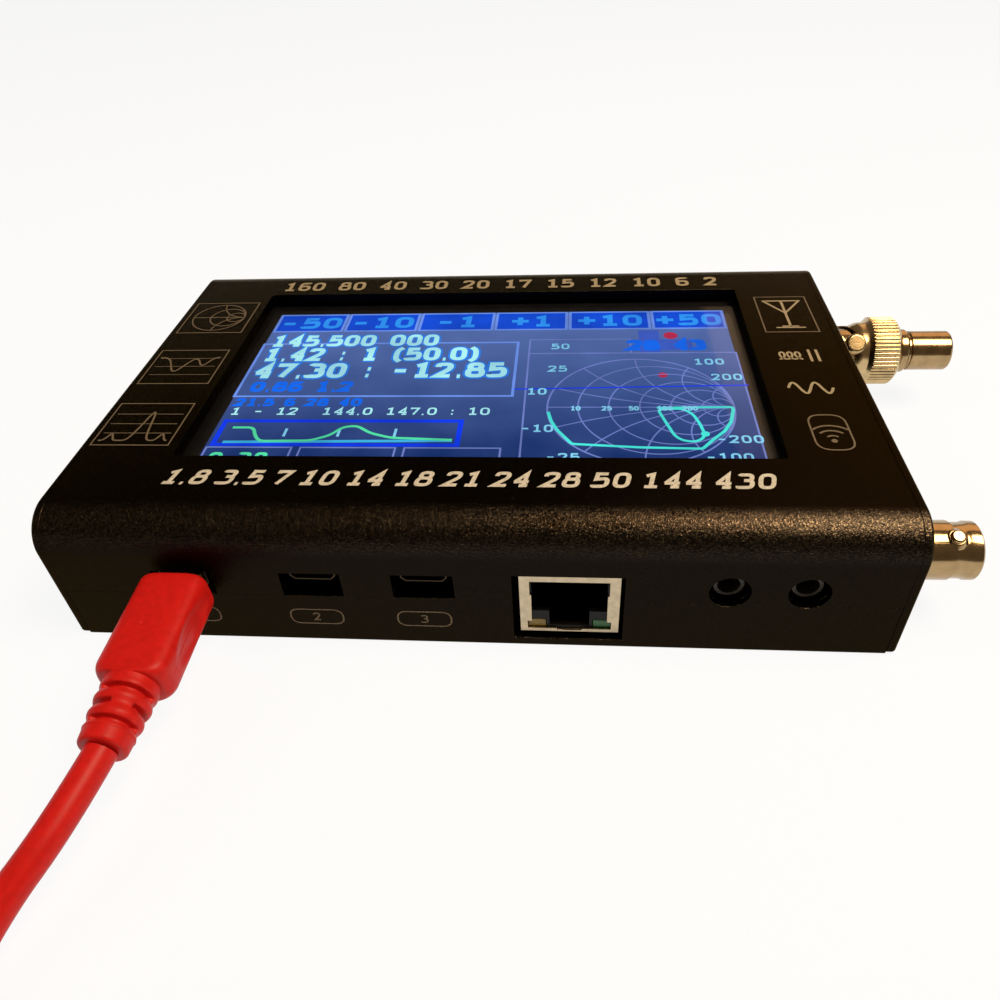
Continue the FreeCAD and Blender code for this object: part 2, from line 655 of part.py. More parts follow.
def make_board_parts():
    """Chips, headers, shield can and card holder on the two boards."""
    half_chip = size.chip_width / 2
    keep(block("processor_chip",
               (-size.chip_left - half_chip, -half_chip, board_base - size.chip_height),
               (-size.chip_left + half_chip, half_chip, board_base)))
    half_memory = size.memory_width / 2
    chips = []
    for number, left in enumerate((size.memory_first_left, size.memory_second_left), 1):
        chips.append(block(f"memory_chip_{number}",
                           (-left - half_memory, -size.memory_depth / 2,
                            board_base - size.chip_height),
                           (-left + half_memory, size.memory_depth / 2, board_base)))
    keep(group("memory_chips", chips))
    headers = []
    for number, y in enumerate((-size.rf_front + size.post_inset, size.rf_rear - size.post_inset), 1):
        left = -size.rf_left + size.header_inset
        headers.append(block(f"board_header_{number}", (left, y - size.header_width / 2, rf_top),
                             (left + size.header_length, y + size.header_width / 2, board_base)))
    keep(group("board_headers", headers))
    can = new_body("shield_can")
    half_can = size.can_width / 2
    centre = (size.rf_right - size.rf_left) / 2
    low, high = size.can_centre - size.can_depth / 2, size.can_centre + size.can_depth / 2
    pad(can, "XY", rf_top, rf_top + size.can_height,
        [rectangle(centre - half_can, low, centre + half_can, high)])
    pocket(can, "XY", rf_top, rf_top + size.can_height - size.can_wall,
           [rectangle(centre - half_can + size.can_wall, low + size.can_wall,
                      centre + half_can - size.can_wall, high - size.can_wall)])
    keep(can)
    keep(block("mixer_chip", (centre - size.mixer_width / 2, size.mixer_front, rf_top),
               (centre + size.mixer_width / 2, size.mixer_front + size.mixer_width,
                rf_top + size.chip_height)))
    holder_left = -size.card_left
    holder_rear = size.card_rear
    holder_low = board_base - size.card_socket_height
    holder = new_body("card_holder")
    outline = rectangle(holder_left, holder_rear - size.card_socket_depth,
                        holder_left + size.card_socket_width, holder_rear)
    pad(holder, "XY", holder_low, board_base, [outline])
    slot_left = holder_left + size.card_socket_width / 2 - size.card_width / 2 - size.fit_gap
    slot_low = holder_low + size.card_slot_floor
    pocket(holder, "XZ", holder_rear - size.card_length, holder_rear + 1.0,
           [rectangle(slot_left, slot_low, slot_left + size.card_width + size.fit_gap * 2,
                      slot_low + size.card_thickness + size.fit_gap * 2)])
    keep(holder)
    card_left = slot_left + size.fit_gap
    keep(block("memory_card",
               (card_left, holder_rear - size.card_length + size.card_stand_out,
                slot_low + size.fit_gap),
               (card_left + size.card_width, holder_rear + size.card_stand_out,
                slot_low + size.fit_gap + size.card_thickness)))


def make_battery():
    left = -battery_centre - size.battery_width / 2
    front = size.battery_rear - size.battery_depth
    pad_top = size.floor_wall + size.battery_pad
    inset = size.battery_pad_inset
    keep(block("battery_pad", (left + inset, front + inset, size.floor_wall),
               (left + size.battery_width - inset, size.battery_rear - inset, pad_top)))
    cell = new_body("battery")
    pad(cell, "XY", pad_top, pad_top + size.battery_height,
        [rectangle(left, front, left + size.battery_width, size.battery_rear)])
    dress(cell, "Fillet", size.battery_round,
          lambda spot: close(abs(spot.x + battery_centre.number), size.battery_width / 2)
          and (close(spot.z, pad_top) or close(spot.z, pad_top + size.battery_height)))
    keep(cell)


# ---------------------------------------------------------------- front ports


def bevelled(centre, low, width, height, bevel):
    """A rectangle standing on its short side, with both lower corners cut off."""
    half = width / 2
    return [(centre - half + bevel, low), (centre + half - bevel, low),
            (centre + half, low + bevel), (centre + half, low + height),
            (centre - half, low + height), (centre - half, low + bevel)]


def usb_socket(label, centre, width, height, length, recess, tongue_width, tongue_height):
    """A folded metal shell, closed at the back, with a contact tongue inside."""
    mouth = recess - half_depth
    low = board_base - height
    wall = size.metal_wall
    shell = new_body(f"{label}_shell")
    pad(shell, "XZ", mouth, mouth + length, [bevelled(centre, low, width, height, size.shell_bevel)])
    pocket(shell, "XZ", mouth - 0.5, mouth + length - wall,
           [bevelled(centre, low + wall, width - wall * 2, height - wall * 2,
                     size.shell_inner_bevel)])
    middle = board_base - height / 2
    tongue = block(f"{label}_tongue",
                   (centre - tongue_width / 2, mouth + size.tongue_recess,
                    middle - tongue_height / 2),
                   (centre + tongue_width / 2, mouth + length - wall,
                    middle + tongue_height / 2))
    return shell, tongue


def make_usb_sockets():
    shell, tongue = usb_socket("mini_usb", -mini_centre, size.mini_width, size.mini_height,
                               size.mini_length, size.mini_recess,
                               size.mini_tongue_width, size.mini_tongue_height)
    keep(shell)
    keep(tongue)
    shells, tongues = [], []
    for number, centre in enumerate(micro_spots, 1):
        shell, tongue = usb_socket(f"micro_usb_{number}", centre, size.micro_width,
                                   size.micro_height, size.micro_length, size.micro_recess,
                                   size.micro_tongue_width, size.micro_tongue_height)
        shells.append(shell)
        tongues.append(tongue)
    keep(group("micro_usb_shells", shells))
    keep(group("micro_usb_tongues", tongues))


def make_ethernet():
    """Shielded network jack, hung under the board with its latch slot downwards."""
    centre = size.ethernet_centre
    half = size.ethernet_width / 2
    wall = size.ethernet_wall
    top = board_base
    rear = ethernet_face + size.ethernet_length
    hole_top = top - size.ethernet_bar
    shoulder = hole_top - size.plug_hole_height
    shield = new_body("ethernet_shield")
    pad(shield, "XZ", ethernet_face, rear,
        [rectangle(centre - half, ethernet_base, centre + half, top)])
    pocket(shield, "XZ", ethernet_face + wall, rear - wall,
           [rectangle(centre - half + wall, ethernet_base + wall, centre + half - wall,
                      top - wall)])
    wide, narrow = size.plug_hole_top_width / 2, size.plug_hole_width / 2
    step = hole_top - size.plug_hole_step
    lamp_out = half - size.lamp_from_side
    lamp_low = ethernet_base + size.lamp_base
    lamp_top = lamp_low + size.lamp_height
    right = [(centre + wide, hole_top), (centre + wide, step), (centre + narrow, step),
             (centre + narrow, lamp_top), (centre + lamp_out, lamp_top),
             (centre + lamp_out, lamp_low)]
    left = [(centre * 2.0 - x, z) for x, z in reversed(right)]
    notch = size.latch_notch / 2
    foot = [(centre + notch, lamp_low), (centre + notch, ethernet_base + wall),
            (centre - notch, ethernet_base + wall), (centre - notch, lamp_low)]
    pocket(shield, "XZ", ethernet_face - 0.5, ethernet_face + wall, [right + foot + left])
    keep(shield)

    insert = new_body("ethernet_insert")
    inside = size.fit_gap + wall
    front = ethernet_face + wall + size.fit_gap
    pad(insert, "XZ", front, rear - inside,
        [rectangle(centre - half + inside, ethernet_base + inside, centre + half - inside,
                   top - inside)])
    latch_half = size.latch_width / 2
    hole = [(centre + narrow, shoulder), (centre + narrow, hole_top),
            (centre - narrow, hole_top), (centre - narrow, shoulder),
            (centre - latch_half, shoulder), (centre - latch_half, shoulder - size.latch_height),
            (centre + latch_half, shoulder - size.latch_height), (centre + latch_half, shoulder)]
    pocket(insert, "XZ", front - 0.5, front + size.plug_hole_depth, [hole])
    lamp_in = lamp_out - size.lamp_width
    lamp_seats = [rectangle(centre + lamp_in - size.fit_gap, lamp_low - 1.0,
                            centre + half, lamp_top + size.fit_gap),
                  rectangle(centre - half, lamp_low - 1.0,
                            centre - lamp_in + size.fit_gap, lamp_top + size.fit_gap)]
    pocket(insert, "XZ", front - 0.5, front + size.lamp_length + size.fit_gap, lamp_seats)
    keep(insert)

    keep(block("ethernet_lamp_left", (centre - lamp_out, front, lamp_low),
               (centre - lamp_in, front + size.lamp_length, lamp_top)))
    keep(block("ethernet_lamp_right", (centre + lamp_in, front, lamp_low),
               (centre + lamp_out, front + size.lamp_length, lamp_top)))
    wires = []
    for number in range(CONTACTS):
        x = centre + size.contact_pitch * (number - (CONTACTS - 1) / 2)
        wire = new_body(f"ethernet_contact_{number + 1}")
        start = front + size.contact_start
        over, thick = hole_top - size.contact_gap, size.contact_thickness
        end = front + size.plug_hole_depth
        pad(wire, "YZ", x - size.contact_width / 2, x + size.contact_width / 2,
            [[(start, over), (end, over), (end, hole_top - size.contact_drop),
              (end - thick, hole_top - size.contact_drop), (start, hole_top - thick)]])
        wires.append(wire)
    keep(group("ethernet_contacts", wires))


def make_audio_jacks():
    for label, x in zip(("audio_jack_left", "audio_jack_right"), audio_spots):
        nose = size.audio_recess - half_depth
        shoulder = nose + size.audio_nose_length
        body = new_body(label)
        pad(body, "XZ", shoulder, shoulder + size.audio_length,
            [centred(x, size.audio_height, size.audio_width, (board_base - size.audio_height) * 2)])
        pad(body, "XZ", nose, shoulder, [(x, size.audio_height, size.audio_nose)])
        pocket(body, "XZ", nose, shoulder + size.audio_length - 1.0,
               [(x, size.audio_height, size.audio_bore)])
        keep(body)


# ---------------------------------------------------------------- power switch


def make_switch():
    """Snap-in rocker switch in the left end plate."""
    centre_y, centre_z = switch_centre, size.switch_height
    outer = -half_width
    housing = new_body("switch_housing")
    pad(housing, "YZ", outer - size.switch_bezel_height, outer,
        [centred(centre_y, centre_z, size.switch_bezel_length, size.switch_bezel_width)])
    dress(housing, "Chamfer", size.bezel_chamfer,
          lambda spot: close(spot.x, outer - size.switch_bezel_height))
    pad(housing, "YZ", outer, outer + size.switch_depth + size.plate_thickness,
        [centred(centre_y, centre_z, size.switch_cut_length - size.fit_gap * 2,
                 size.switch_cut_width - size.fit_gap * 2)])
    well_end = outer - size.switch_bezel_height + size.switch_well
    pocket(housing, "YZ", outer - size.switch_bezel_height, well_end,
           [centred(centre_y, centre_z, (size.rocker_half_length + size.rocker_gap) * 2,
                    size.rocker_width + size.fit_gap * 4)])
    back = outer + size.switch_depth + size.plate_thickness
    tabs = [centred(centre_y + side * size.switch_tab_spacing / 2, centre_z,
                    size.switch_tab_thickness, size.switch_tab_width) for side in (-1.0, 1.0)]
    pad(housing, "YZ", back - 0.5, back + size.switch_tab_length, tabs)
    keep(housing)

    rocker = new_body("power_rocker")
    half = size.rocker_half_length
    top = size.rocker_pivot_depth
    sink = math.tan(math.radians(SIZES["rocker_tilt"]))
    crown = top + size.rocker_crown
    outline = [(-crown, as_length(0)), (-(crown - half * sink * DISH_MIDDLE), half / 2),
               (-(crown + half * sink * DISH_END), half), (-(top - size.rocker_height), half),
               (as_length(0), size.rocker_hub), (size.rocker_hub, size.rocker_keel)]
    mirrored = [(x, -y) for x, y in reversed(outline[1:])]
    pad(rocker, "XY", -size.rocker_width / 2, size.rocker_width / 2, [outline + mirrored])
    hub = (as_length(0), as_length(0), size.rocker_hub)
    pad(rocker, "XY", -size.rocker_width / 2, size.rocker_width / 2, [hub])
    pivot_x = outer - size.switch_bezel_height + size.rocker_pivot_depth
    place(rocker, pivot_x, centre_y, centre_z, (0, 0, 1), size.rocker_tilt)
    keep(rocker)


# ---------------------------------------------------------------- bayonet jacks


def put_on_axis(body, side):
    angle = size.front_lug_angle if side == "front" else size.rear_lug_angle
    place(body, 0.0, jack_sides[side], size.jack_height, (1, 0, 0), angle)


def make_jack(side):
    """Panel jack: threaded tail through the plate, flange, and a barrel with two lugs."""
    zero = as_length(0)
    body = new_body(f"{side}_jack_body")
    tail = half_width - size.jack_tail
    flange_end = half_width + size.jack_flange_height
    waist = jack_mouth - size.waist_from_mouth
    bead = jack_mouth - size.bead_from_mouth
    corner, rim = size.mouth_chamfer, size.flange_chamfer
    turn_on_x(body, [(tail, zero), (jack_mouth, zero),
                     (jack_mouth, size.jack_bead_radius - corner),
                     (jack_mouth - corner, size.jack_bead_radius), (bead, size.jack_bead_radius),
                     (bead - size.bead_slope, size.jack_waist_radius),
                     (waist + size.bead_slope, size.jack_waist_radius),
                     (waist, size.jack_radius), (flange_end, size.jack_radius),
                     (flange_end, size.jack_flange - rim), (flange_end - rim, size.jack_flange),
                     (half_width, size.jack_flange), (half_width, size.jack_thread),
                     (tail, size.jack_thread)])
    lug_x = jack_mouth - size.lug_from_mouth
    pad(body, "XY", -size.lug_tip, size.lug_tip, [(lug_x, zero, size.lug_radius)])
    dress(body, "Fillet", size.lug_round, lambda spot: close(abs(spot.z), size.lug_tip))
    foot_start = size.lug_foot_tip - size.lug_foot_drop
    wide = size.lug_foot_radius + size.lug_foot_drop
    for low, high, radius, lean in (
            (foot_start, size.lug_foot_tip, wide, -size.lug_foot_taper),
            (-size.lug_foot_tip, -foot_start, size.lug_foot_radius, size.lug_foot_taper)):
        foot = pad(body, "XY", low, high, [(lug_x, zero, radius)])
        bind(foot, "TaperAngle", lean)
        doc.recompute()
    floor = jack_mouth - size.jack_mouth_depth
    bore = size.jack_core + size.jack_seat_gap / 2
    turn_on_x(body, [(tail - 1.0, zero), (jack_mouth + 1.0, zero),
                     (jack_mouth + 1.0, size.jack_bore), (floor, size.jack_bore),
                     (floor, bore), (tail - 1.0, bore)], cut=True)
    put_on_axis(body, side)
    keep(body)

    core = new_body(f"{side}_jack_insulator")
    core_end = floor + size.jack_core_length
    hole = size.jack_pin + size.jack_seat_gap / 2
    turn_on_x(core, [(tail, hole), (core_end, hole), (core_end, size.jack_core),
                     (tail, size.jack_core)])
    put_on_axis(core, side)
    keep(core)

    pin = new_body(f"{side}_jack_contact")
    pin_end = core_end - size.contact_recess
    socket_floor = jack_mouth - size.spigot_length
    turn_on_x(pin, [(tail - size.jack_pin_tail, zero), (socket_floor - 1.0, zero),
                    (socket_floor - 1.0, size.jack_pin_bore), (pin_end, size.jack_pin_bore),
                    (pin_end, size.jack_pin), (tail - size.jack_pin_tail, size.jack_pin)])
    put_on_axis(pin, side)
    keep(pin)

    hole = size.jack_thread + size.fit_gap
    washer = new_body(f"{side}_jack_washer")
    washer_face = shell_end - size.washer_thickness
    turn_on_x(washer, [(washer_face, hole), (shell_end, hole), (shell_end, size.washer_radius),
                       (washer_face, size.washer_radius)])
    put_on_axis(washer, side)
    nut = new_body(f"{side}_jack_nut")
    pad(nut, "YZ", washer_face - size.nut_height, washer_face, [hexagon(size.nut_width)])
    pocket(nut, "YZ", washer_face - size.nut_height, washer_face, [(zero, zero, hole)])
    put_on_axis(nut, side)
    return washer, nut


def make_jacks():
    fixings = [make_jack(side) for side in jack_sides]
    keep(group("jack_washers", [washer for washer, nut in fixings]))
    keep(group("jack_nuts", [nut for washer, nut in fixings]))


# ---------------------------------------------------------------- adapter


def make_coupling():
    """Bayonet ring: knurled grip, thin sleeve over the jack and two curved lug channels."""
    ring = new_body("coupling_blank")
    start = jack_mouth - size.sleeve_from_mouth
    grip = jack_mouth - size.ring_from_mouth
    end = jack_mouth + size.ring_end
    tip = end + size.ring_taper
    bore = size.jack_radius + size.ring_gap
    room = size.collar_radius + size.ring_gap
    neck_room = size.neck_radius + size.ring_gap
    ledge = jack_mouth + size.collar_end + size.ring_gap
    rise = size.ring_radius - size.sleeve_radius
    turn_on_x(ring, [(start, bore), (start, size.sleeve_lip_radius),
                     (jack_mouth - size.sleeve_slope_from_mouth, size.sleeve_lip_radius),
                     (jack_mouth - size.sleeve_step_from_mouth, size.sleeve_step_radius),
                     (grip, size.sleeve_radius), (grip + rise, size.ring_radius),
                     (end - size.ring_end_chamfer, size.ring_radius),
                     (end, size.ring_radius - size.ring_end_chamfer),
                     (tip, size.ring_taper_radius), (tip, neck_room), (ledge, neck_room),
                     (ledge, room), (jack_mouth + size.ring_gap, room),
                     (jack_mouth + size.ring_gap, bore)])
    flute_axis = size.ring_radius + size.flute_radius - size.flute_depth
    flute = pocket(ring, "YZ", grip, end, [(flute_axis, as_length(0), size.flute_radius)])
    knurl = ring.newObject("PartDesign::PolarPattern", "knurl")
    knurl.Originals = [flute]
    knurl.Axis = (flute.Profile[0], ["N_Axis"])
    knurl.Angle = 360.0
    knurl.Occurrences = FLUTES
    finish_feature(ring, knurl)
    lug_x = jack_mouth - size.lug_from_mouth
    root = bore + size.button_root
    pad(ring, "XY", root, size.button_tip, [(lug_x, as_length(0), size.button_radius)])
    pad(ring, "XY", -size.button_tip, -root, [(lug_x, as_length(0), size.button_radius)])
    dress(ring, "Fillet", size.button_round, lambda spot: close(abs(spot.z), size.button_tip))
    put_on_axis(ring, "rear")
    channels = doc.addObject("Part::Feature", "lug_channels")
    channels.Label = "lug_channels"
    channels.Shape = lug_channel(lug_x.number, start.number)
    put_on_axis(channels, "rear")
    finished = doc.addObject("Part::Cut", "coupling_ring")
    finished.Label = "coupling_ring"
    finished.Base = ring
    finished.Tool = channels
    return keep(finished)


def lug_channel(lug_x, start):
    """Room for both lugs: the locked seat, the curved ramp beside it and the straight way out."""
    half, deep = size.channel_half.number, size.channel_radius.number
    low, skin = size.channel_root.number, size.channel_skin.number
    draw_out, turn = size.bayonet_draw.number, size.bayonet_turn.number
    helix = Part.makeHelix(draw_out * 360.0 / turn, draw_out, size.jack_radius.number)
    corners = [Vector(r, 0, z) for r, z in ((low, -half), (deep, -half), (deep, half), (low, half))]
    section = Part.makePolygon(corners + corners[:1])
    ramp = Part.Wire(helix.Edges).makePipeShell([section], True, True)
    ramp.rotate(Vector(0, 0, 0), Vector(0, 1, 0), -90.0)
    ramp.translate(Vector(lug_x, 0, 0))
    wider, tall = half + size.seat_gap.number, deep - low + skin * 2
    seat = Part.makeCylinder(wider, tall, Vector(lug_x, 0, low - skin))
    foot = Part.makeCylinder(wider, tall, Vector(lug_x - draw_out, 0, low - skin))
    way_out = Part.makeBox(lug_x - draw_out - start + 1.0, half * 2, deep - low,
                           Vector(start - 1.0, -half, low))
    for piece in (foot, way_out):
        piece.rotate(Vector(0, 0, 0), Vector(1, 0, 0), -turn)
    one = ramp.fuse(seat).fuse(foot).fuse(way_out)
    other = one.copy()
    other.rotate(Vector(0, 0, 0), Vector(1, 0, 0), 180.0)
    return Part.makeCompound([one, other])


def make_adapter():
    """Metal body from the bayonet spigot to the phono barrel, with its insulator and pin."""
    zero = as_length(0)
    mouth = jack_mouth
    body = new_body("adapter_body")
    groove_end = mouth + size.body_end + size.groove_width
    tip = groove_end + size.barrel_length
    rounding = size.barrel_round
    core = size.core_bore + size.core_wall
    bore_floor = tip - size.barrel_depth
    turn_on_x(body, [(mouth - size.spigot_length, size.spigot_bore),
                     (mouth - size.spigot_length, size.spigot_radius),
                     (mouth + size.collar_start, size.spigot_radius),
                     (mouth + size.collar_start, size.collar_radius),
                     (mouth + size.collar_end, size.collar_radius),
                     (mouth + size.collar_end, size.neck_radius),
                     (mouth + size.body_start, size.neck_radius),
                     (mouth + size.body_start, size.body_radius),
                     (mouth + size.body_end - size.body_chamfer, size.body_radius),
                     (mouth + size.body_end, size.body_radius - size.body_chamfer),
                     (mouth + size.body_end, size.groove_radius),
                     (groove_end, size.groove_radius), (groove_end, size.barrel_radius),
                     (tip - rounding, size.barrel_radius),
                     (tip - rounding * ROUND_STEP, size.barrel_radius - rounding * ROUND_STEP),
                     (tip, size.barrel_radius - rounding),
                     (tip, size.barrel_bore), (bore_floor, size.barrel_bore),
                     (bore_floor, core), (mouth + size.collar_start, core),
                     (mouth + size.collar_start, size.spigot_bore)])
    put_on_axis(body, "rear")
    keep(body)

    insulator = new_body("adapter_insulator")
    gap = size.jack_seat_gap / 2
    inner = size.core_bore
    turn_on_x(insulator, [(mouth + size.collar_start, inner), (mouth + size.collar_start, core - gap),
                          (bore_floor, core - gap), (bore_floor, size.barrel_bore - gap),
                          (tip - size.insulator_recess, size.barrel_bore - gap),
                          (tip - size.insulator_recess, inner)])
    put_on_axis(insulator, "rear")
    keep(insulator)

    pin = new_body("adapter_pin")
    shoulder = mouth + size.collar_start
    tube_end = tip - size.pin_recess
    nose = mouth - size.pin_length
    turn_on_x(pin, [(nose, zero), (nose, size.pin_point),
                    (nose + size.pin_taper, size.pin_radius), (shoulder, size.pin_radius),
                    (shoulder, inner - gap), (tube_end, inner - gap), (tube_end, size.phono_bore),
                    (tube_end - size.phono_depth, size.phono_bore),
                    (tube_end - size.phono_depth, zero)])
    put_on_axis(pin, "rear")
    keep(pin)


# ---------------------------------------------------------------- power lead


def tube_along(label, points, radius):
    """A tube on straight runs joined by arcs, each as large as its two runs allow."""
    spots = [Vector(*point) for point in points]
    edges, radii, length = [], [], 0.0
    start = spots[0]
    for before, corner, after in zip(spots, spots[1:], spots[2:]):
        arriving, leaving = corner - before, after - corner
        turn = arriving.getAngle(leaving)
        reach = BEND_SHARE * min(arriving.Length, leaving.Length)
        inward = corner - arriving.normalize() * reach
        outward = corner + leaving.normalize() * reach
        bend = reach / math.tan(turn / 2)
        centre_way = (inward + outward) * 0.5 - corner
        centre = corner + centre_way.normalize() * math.hypot(bend, reach)
        middle = centre - (centre - corner).normalize() * bend
        edges.append(Part.LineSegment(start, inward).toShape())
        edges.append(Part.Arc(inward, middle, outward).toShape())
        radii.append(round(bend, 1))
        start = outward
    edges.append(Part.LineSegment(start, spots[-1]).toShape())
    path = Part.Wire(edges)
    length = sum(edge.Length for edge in edges)
    circle = Part.makeCircle(radius, spots[0], spots[1] - spots[0])
    piece = doc.addObject("Part::Feature", label)
    piece.Label = label
    piece.Shape = path.makePipeShell([Part.Wire([circle])], True, False)
    expected = math.pi * radius ** 2 * length
    print(label, "radii", radii, "length", round(length, 1), "volume ratio",
          round(piece.Shape.Volume / expected, 4))
    return keep(piece)


def put_in_socket(body):
    """Seats a piece of the plug, which droops a little about the middle of its engaged length."""
    pivot = -half_depth - size.grip_stand_off + size.plug_pivot
    place(body, -mini_centre, pivot, mini_axis, (1, 0, 0), size.plug_droop)


def make_plug():
    """Mini plug: metal shell in the socket, moulded grip and ribbed boot."""
    zero = as_length(0)
    face = -size.plug_pivot
    gap = size.plug_gap + size.metal_wall
    width, height = size.mini_width - gap * 2, size.mini_height - gap * 2
    low = -height / 2
    tip = face + size.plug_reach
    wall = size.metal_wall
    shell = new_body("plug_shell")
    pad(shell, "XZ", face, tip, [bevelled(zero, low, width, height, size.plug_bevel)])
    pocket(shell, "XZ", face + 1.0, tip + 0.5,
           [bevelled(zero, low + wall, width - wall * 2, height - wall * 2,
                     size.plug_inner_bevel)])
    put_in_socket(shell)
    keep(shell)
    inset = wall + size.insert_gap
    strip = (height - size.mini_tongue_height) / 2 - inset - size.plug_gap
    half = width / 2 - inset - size.insert_side
    insert = new_body("plug_insert")
    pad(insert, "XZ", face + 1.0, tip - size.insert_recess,
        [rectangle(-half, low + inset, half, low + inset + strip)])
    put_in_socket(insert)
    keep(insert)

    grip = new_body("plug_grip")
    grip_end = face - size.grip_length
    pad(grip, "XZ", grip_end, face, [centred(zero, zero, size.grip_width, size.grip_height)])
    dress(grip, "Fillet", size.grip_round,
          lambda spot: close(abs(spot.x), size.grip_width / 2)
          and close(abs(spot.z), size.grip_height / 2))
    dress(grip, "Fillet", size.grip_end_round, lambda spot: close(spot.y, grip_end))
    put_in_socket(grip)
    root, end = -grip_end - 2.0, -grip_end + size.boot_length
    slot, slot_depth = size.boot_slot, size.boot_slot_radius
    collar = end - size.boot_collar_length
    rim = size.boot_collar_round
    profile = [(root, zero), (end, zero), (end, size.boot_collar_radius - rim),
               (end - rim, size.boot_collar_radius), (collar, size.boot_collar_radius),
               (collar, slot_depth), (collar - slot, slot_depth),
               (collar - slot, size.boot_radius)]
    for number in (1.0, 2.0):
        near = collar - size.boot_slot_pitch * number
        profile += [(near, size.boot_radius), (near, slot_depth),
                    (near - slot, slot_depth), (near - slot, size.boot_radius)]
    profile += [(root, size.boot_radius)]
    boot = new_body("plug_boot")
    sketch = new_sketch(boot, "YZ")
    draw(sketch, [[(-reach, radius) for reach, radius in profile]])
    turned = boot.newObject("PartDesign::Revolution", "plug_boot_turned")
    turned.Profile = sketch
    turned.ReferenceAxis = (sketch, ["H_Axis"])
    turned.Angle = 360.0
    finish_feature(boot, turned)
    put_in_socket(boot)
    moulding = doc.addObject("Part::Fuse", "plug_moulding")
    moulding.Label = "plug_moulding"
    moulding.Base = grip
    moulding.Tool = boot
    keep(moulding)


CORD_ROUTE = [(-45.4, -74.88, 12.525), (-46.9, -84.7, 11.4), (-51.8, -94.2, 7.9),
              (-54.3, -105.0, 4.2), (-55.0, -114.0, 3.2), (-56.4, -122.0, 4.3)]
TAIL_ROUTE = [(-110.4, -117.0, 4.6), (-113.0, -104.5, 4.4), (-112.024, -92.934, 4.0),
              (-110.531, -82.036, 4.0)]


def make_cord():
    """The lead's free stretches, its stored coil, the tie round it and the far plug."""
    radius = size.cord_diameter.number / 2
    tube_along("usb_cord", CORD_ROUTE, radius)
    tube_along("usb_cord_tail", TAIL_ROUTE, radius)
    zero = as_length(0)
    coil = new_body("usb_coil")
    middle = size.coil_mean / 2
    inner, outer = middle - size.coil_width / 2, middle + size.coil_width / 2
    bevel, top = size.coil_bevel, size.coil_height
    sketch = new_sketch(coil, "XZ")
    draw(sketch, [[(inner, bevel), (inner + bevel, zero), (outer - bevel, zero), (outer, bevel),
                   (outer, top - bevel), (outer - bevel, top), (inner + bevel, top),
                   (inner, top - bevel)]])
    ring = coil.newObject("PartDesign::Revolution", "usb_coil_ring")
    ring.Profile = sketch
    ring.ReferenceAxis = (sketch, ["V_Axis"])
    ring.Angle = 360.0
    finish_feature(coil, ring)
    thick, gap = size.tie_thickness, size.tie_gap
    half_tie = size.tie_width / 2
    bed = rectangle(inner - 1.0, -1.0, outer + 1.0, thick + gap)
    pocket(coil, "XZ", -half_tie - gap, half_tie + gap, [bed])
    place(coil, -size.coil_centre_left, -size.coil_centre_front, 0.0, (0, 0, 1), size.tie_angle)
    keep(coil)

    tie = new_body("cord_tie")
    pad(tie, "XZ", -half_tie, half_tie,
        [rectangle(inner - thick - gap, 0.0, outer + thick + gap, top + thick + gap)])
    pocket(tie, "XZ", -half_tie - 1.0, half_tie + 1.0,
           [rectangle(inner - gap, thick, outer + gap, top + gap)])
    place(tie, -size.coil_centre_left, -size.coil_centre_front, 0.0, (0, 0, 1), size.tie_angle)
    keep(tie)

    half_height = size.far_grip_height / 2
    grip = new_body("far_plug_grip")
    length = size.far_grip_length
    pad(grip, "YZ", 0.0, length, [centred(zero, half_height, size.far_grip_width,
                                          size.far_grip_height)])
    dress(grip, "Fillet", size.far_grip_round,
          lambda spot: close(abs(spot.y), size.far_grip_width / 2)
          and close(abs(spot.z - half_height.number), half_height))
    boot_axis = [(zero, half_height, size.far_boot_radius)]
    pad(grip, "YZ", -size.far_boot_length, 0.0, boot_axis)
    far_plug(grip)
    keep(grip)
    shell = new_body("far_plug_shell")
    end = length + size.far_shell_length
    pad(shell, "YZ", length, end,
        [centred(zero, half_height, size.far_shell_width, size.far_shell_height)])
    wall = size.metal_wall
    pocket(shell, "YZ", length + 1.0, end + 1.0,
           [centred(zero, half_height, size.far_shell_width - wall * 2,
                    size.far_shell_height - wall * 2)])
    far_plug(shell)
    keep(shell)
    tongue = new_body("far_plug_tongue")
    low = half_height - size.far_shell_height / 2 + wall
    pad(tongue, "YZ", length + 1.0, end - size.far_tongue_recess,
        [rectangle(-size.far_tongue_width / 2, low, size.far_tongue_width / 2,
                   low + size.far_tongue_height)])
    far_plug(tongue)
    keep(tongue)


def far_plug(body):
    place(body, -size.far_plug_left, -size.far_plug_front, 0.0, (0, 0, 1), size.far_plug_turn)


def make_all():
    make_top_shell()
    make_bottom_shell()
    zero = as_length(0)
    jack_holes = [(y, size.jack_height, size.jack_thread + size.fit_gap)
                  for y in jack_sides.values()]
    make_end_plate("right_end_plate", 1.0, jack_holes)
    switch_hole = centred(switch_centre, size.switch_height, size.switch_cut_length,
                          size.switch_cut_width)
    make_end_plate("left_end_plate", -1.0, [switch_hole])
    make_plate_screws("right_plate_screws", 1.0)
    make_plate_screws("left_plate_screws", -1.0)
    make_display()
    make_display_flex()
    make_main_board()
    make_rf_board()
    make_posts()
    make_board_parts()
    make_battery()
    make_usb_sockets()
    make_ethernet()
    make_audio_jacks()
    make_switch()
    make_jacks()
    make_adapter()
    make_coupling()
    make_plug()
    make_cord()


make_all()
doc.recompute()

# ---------------------------------------------------------------- checks and files

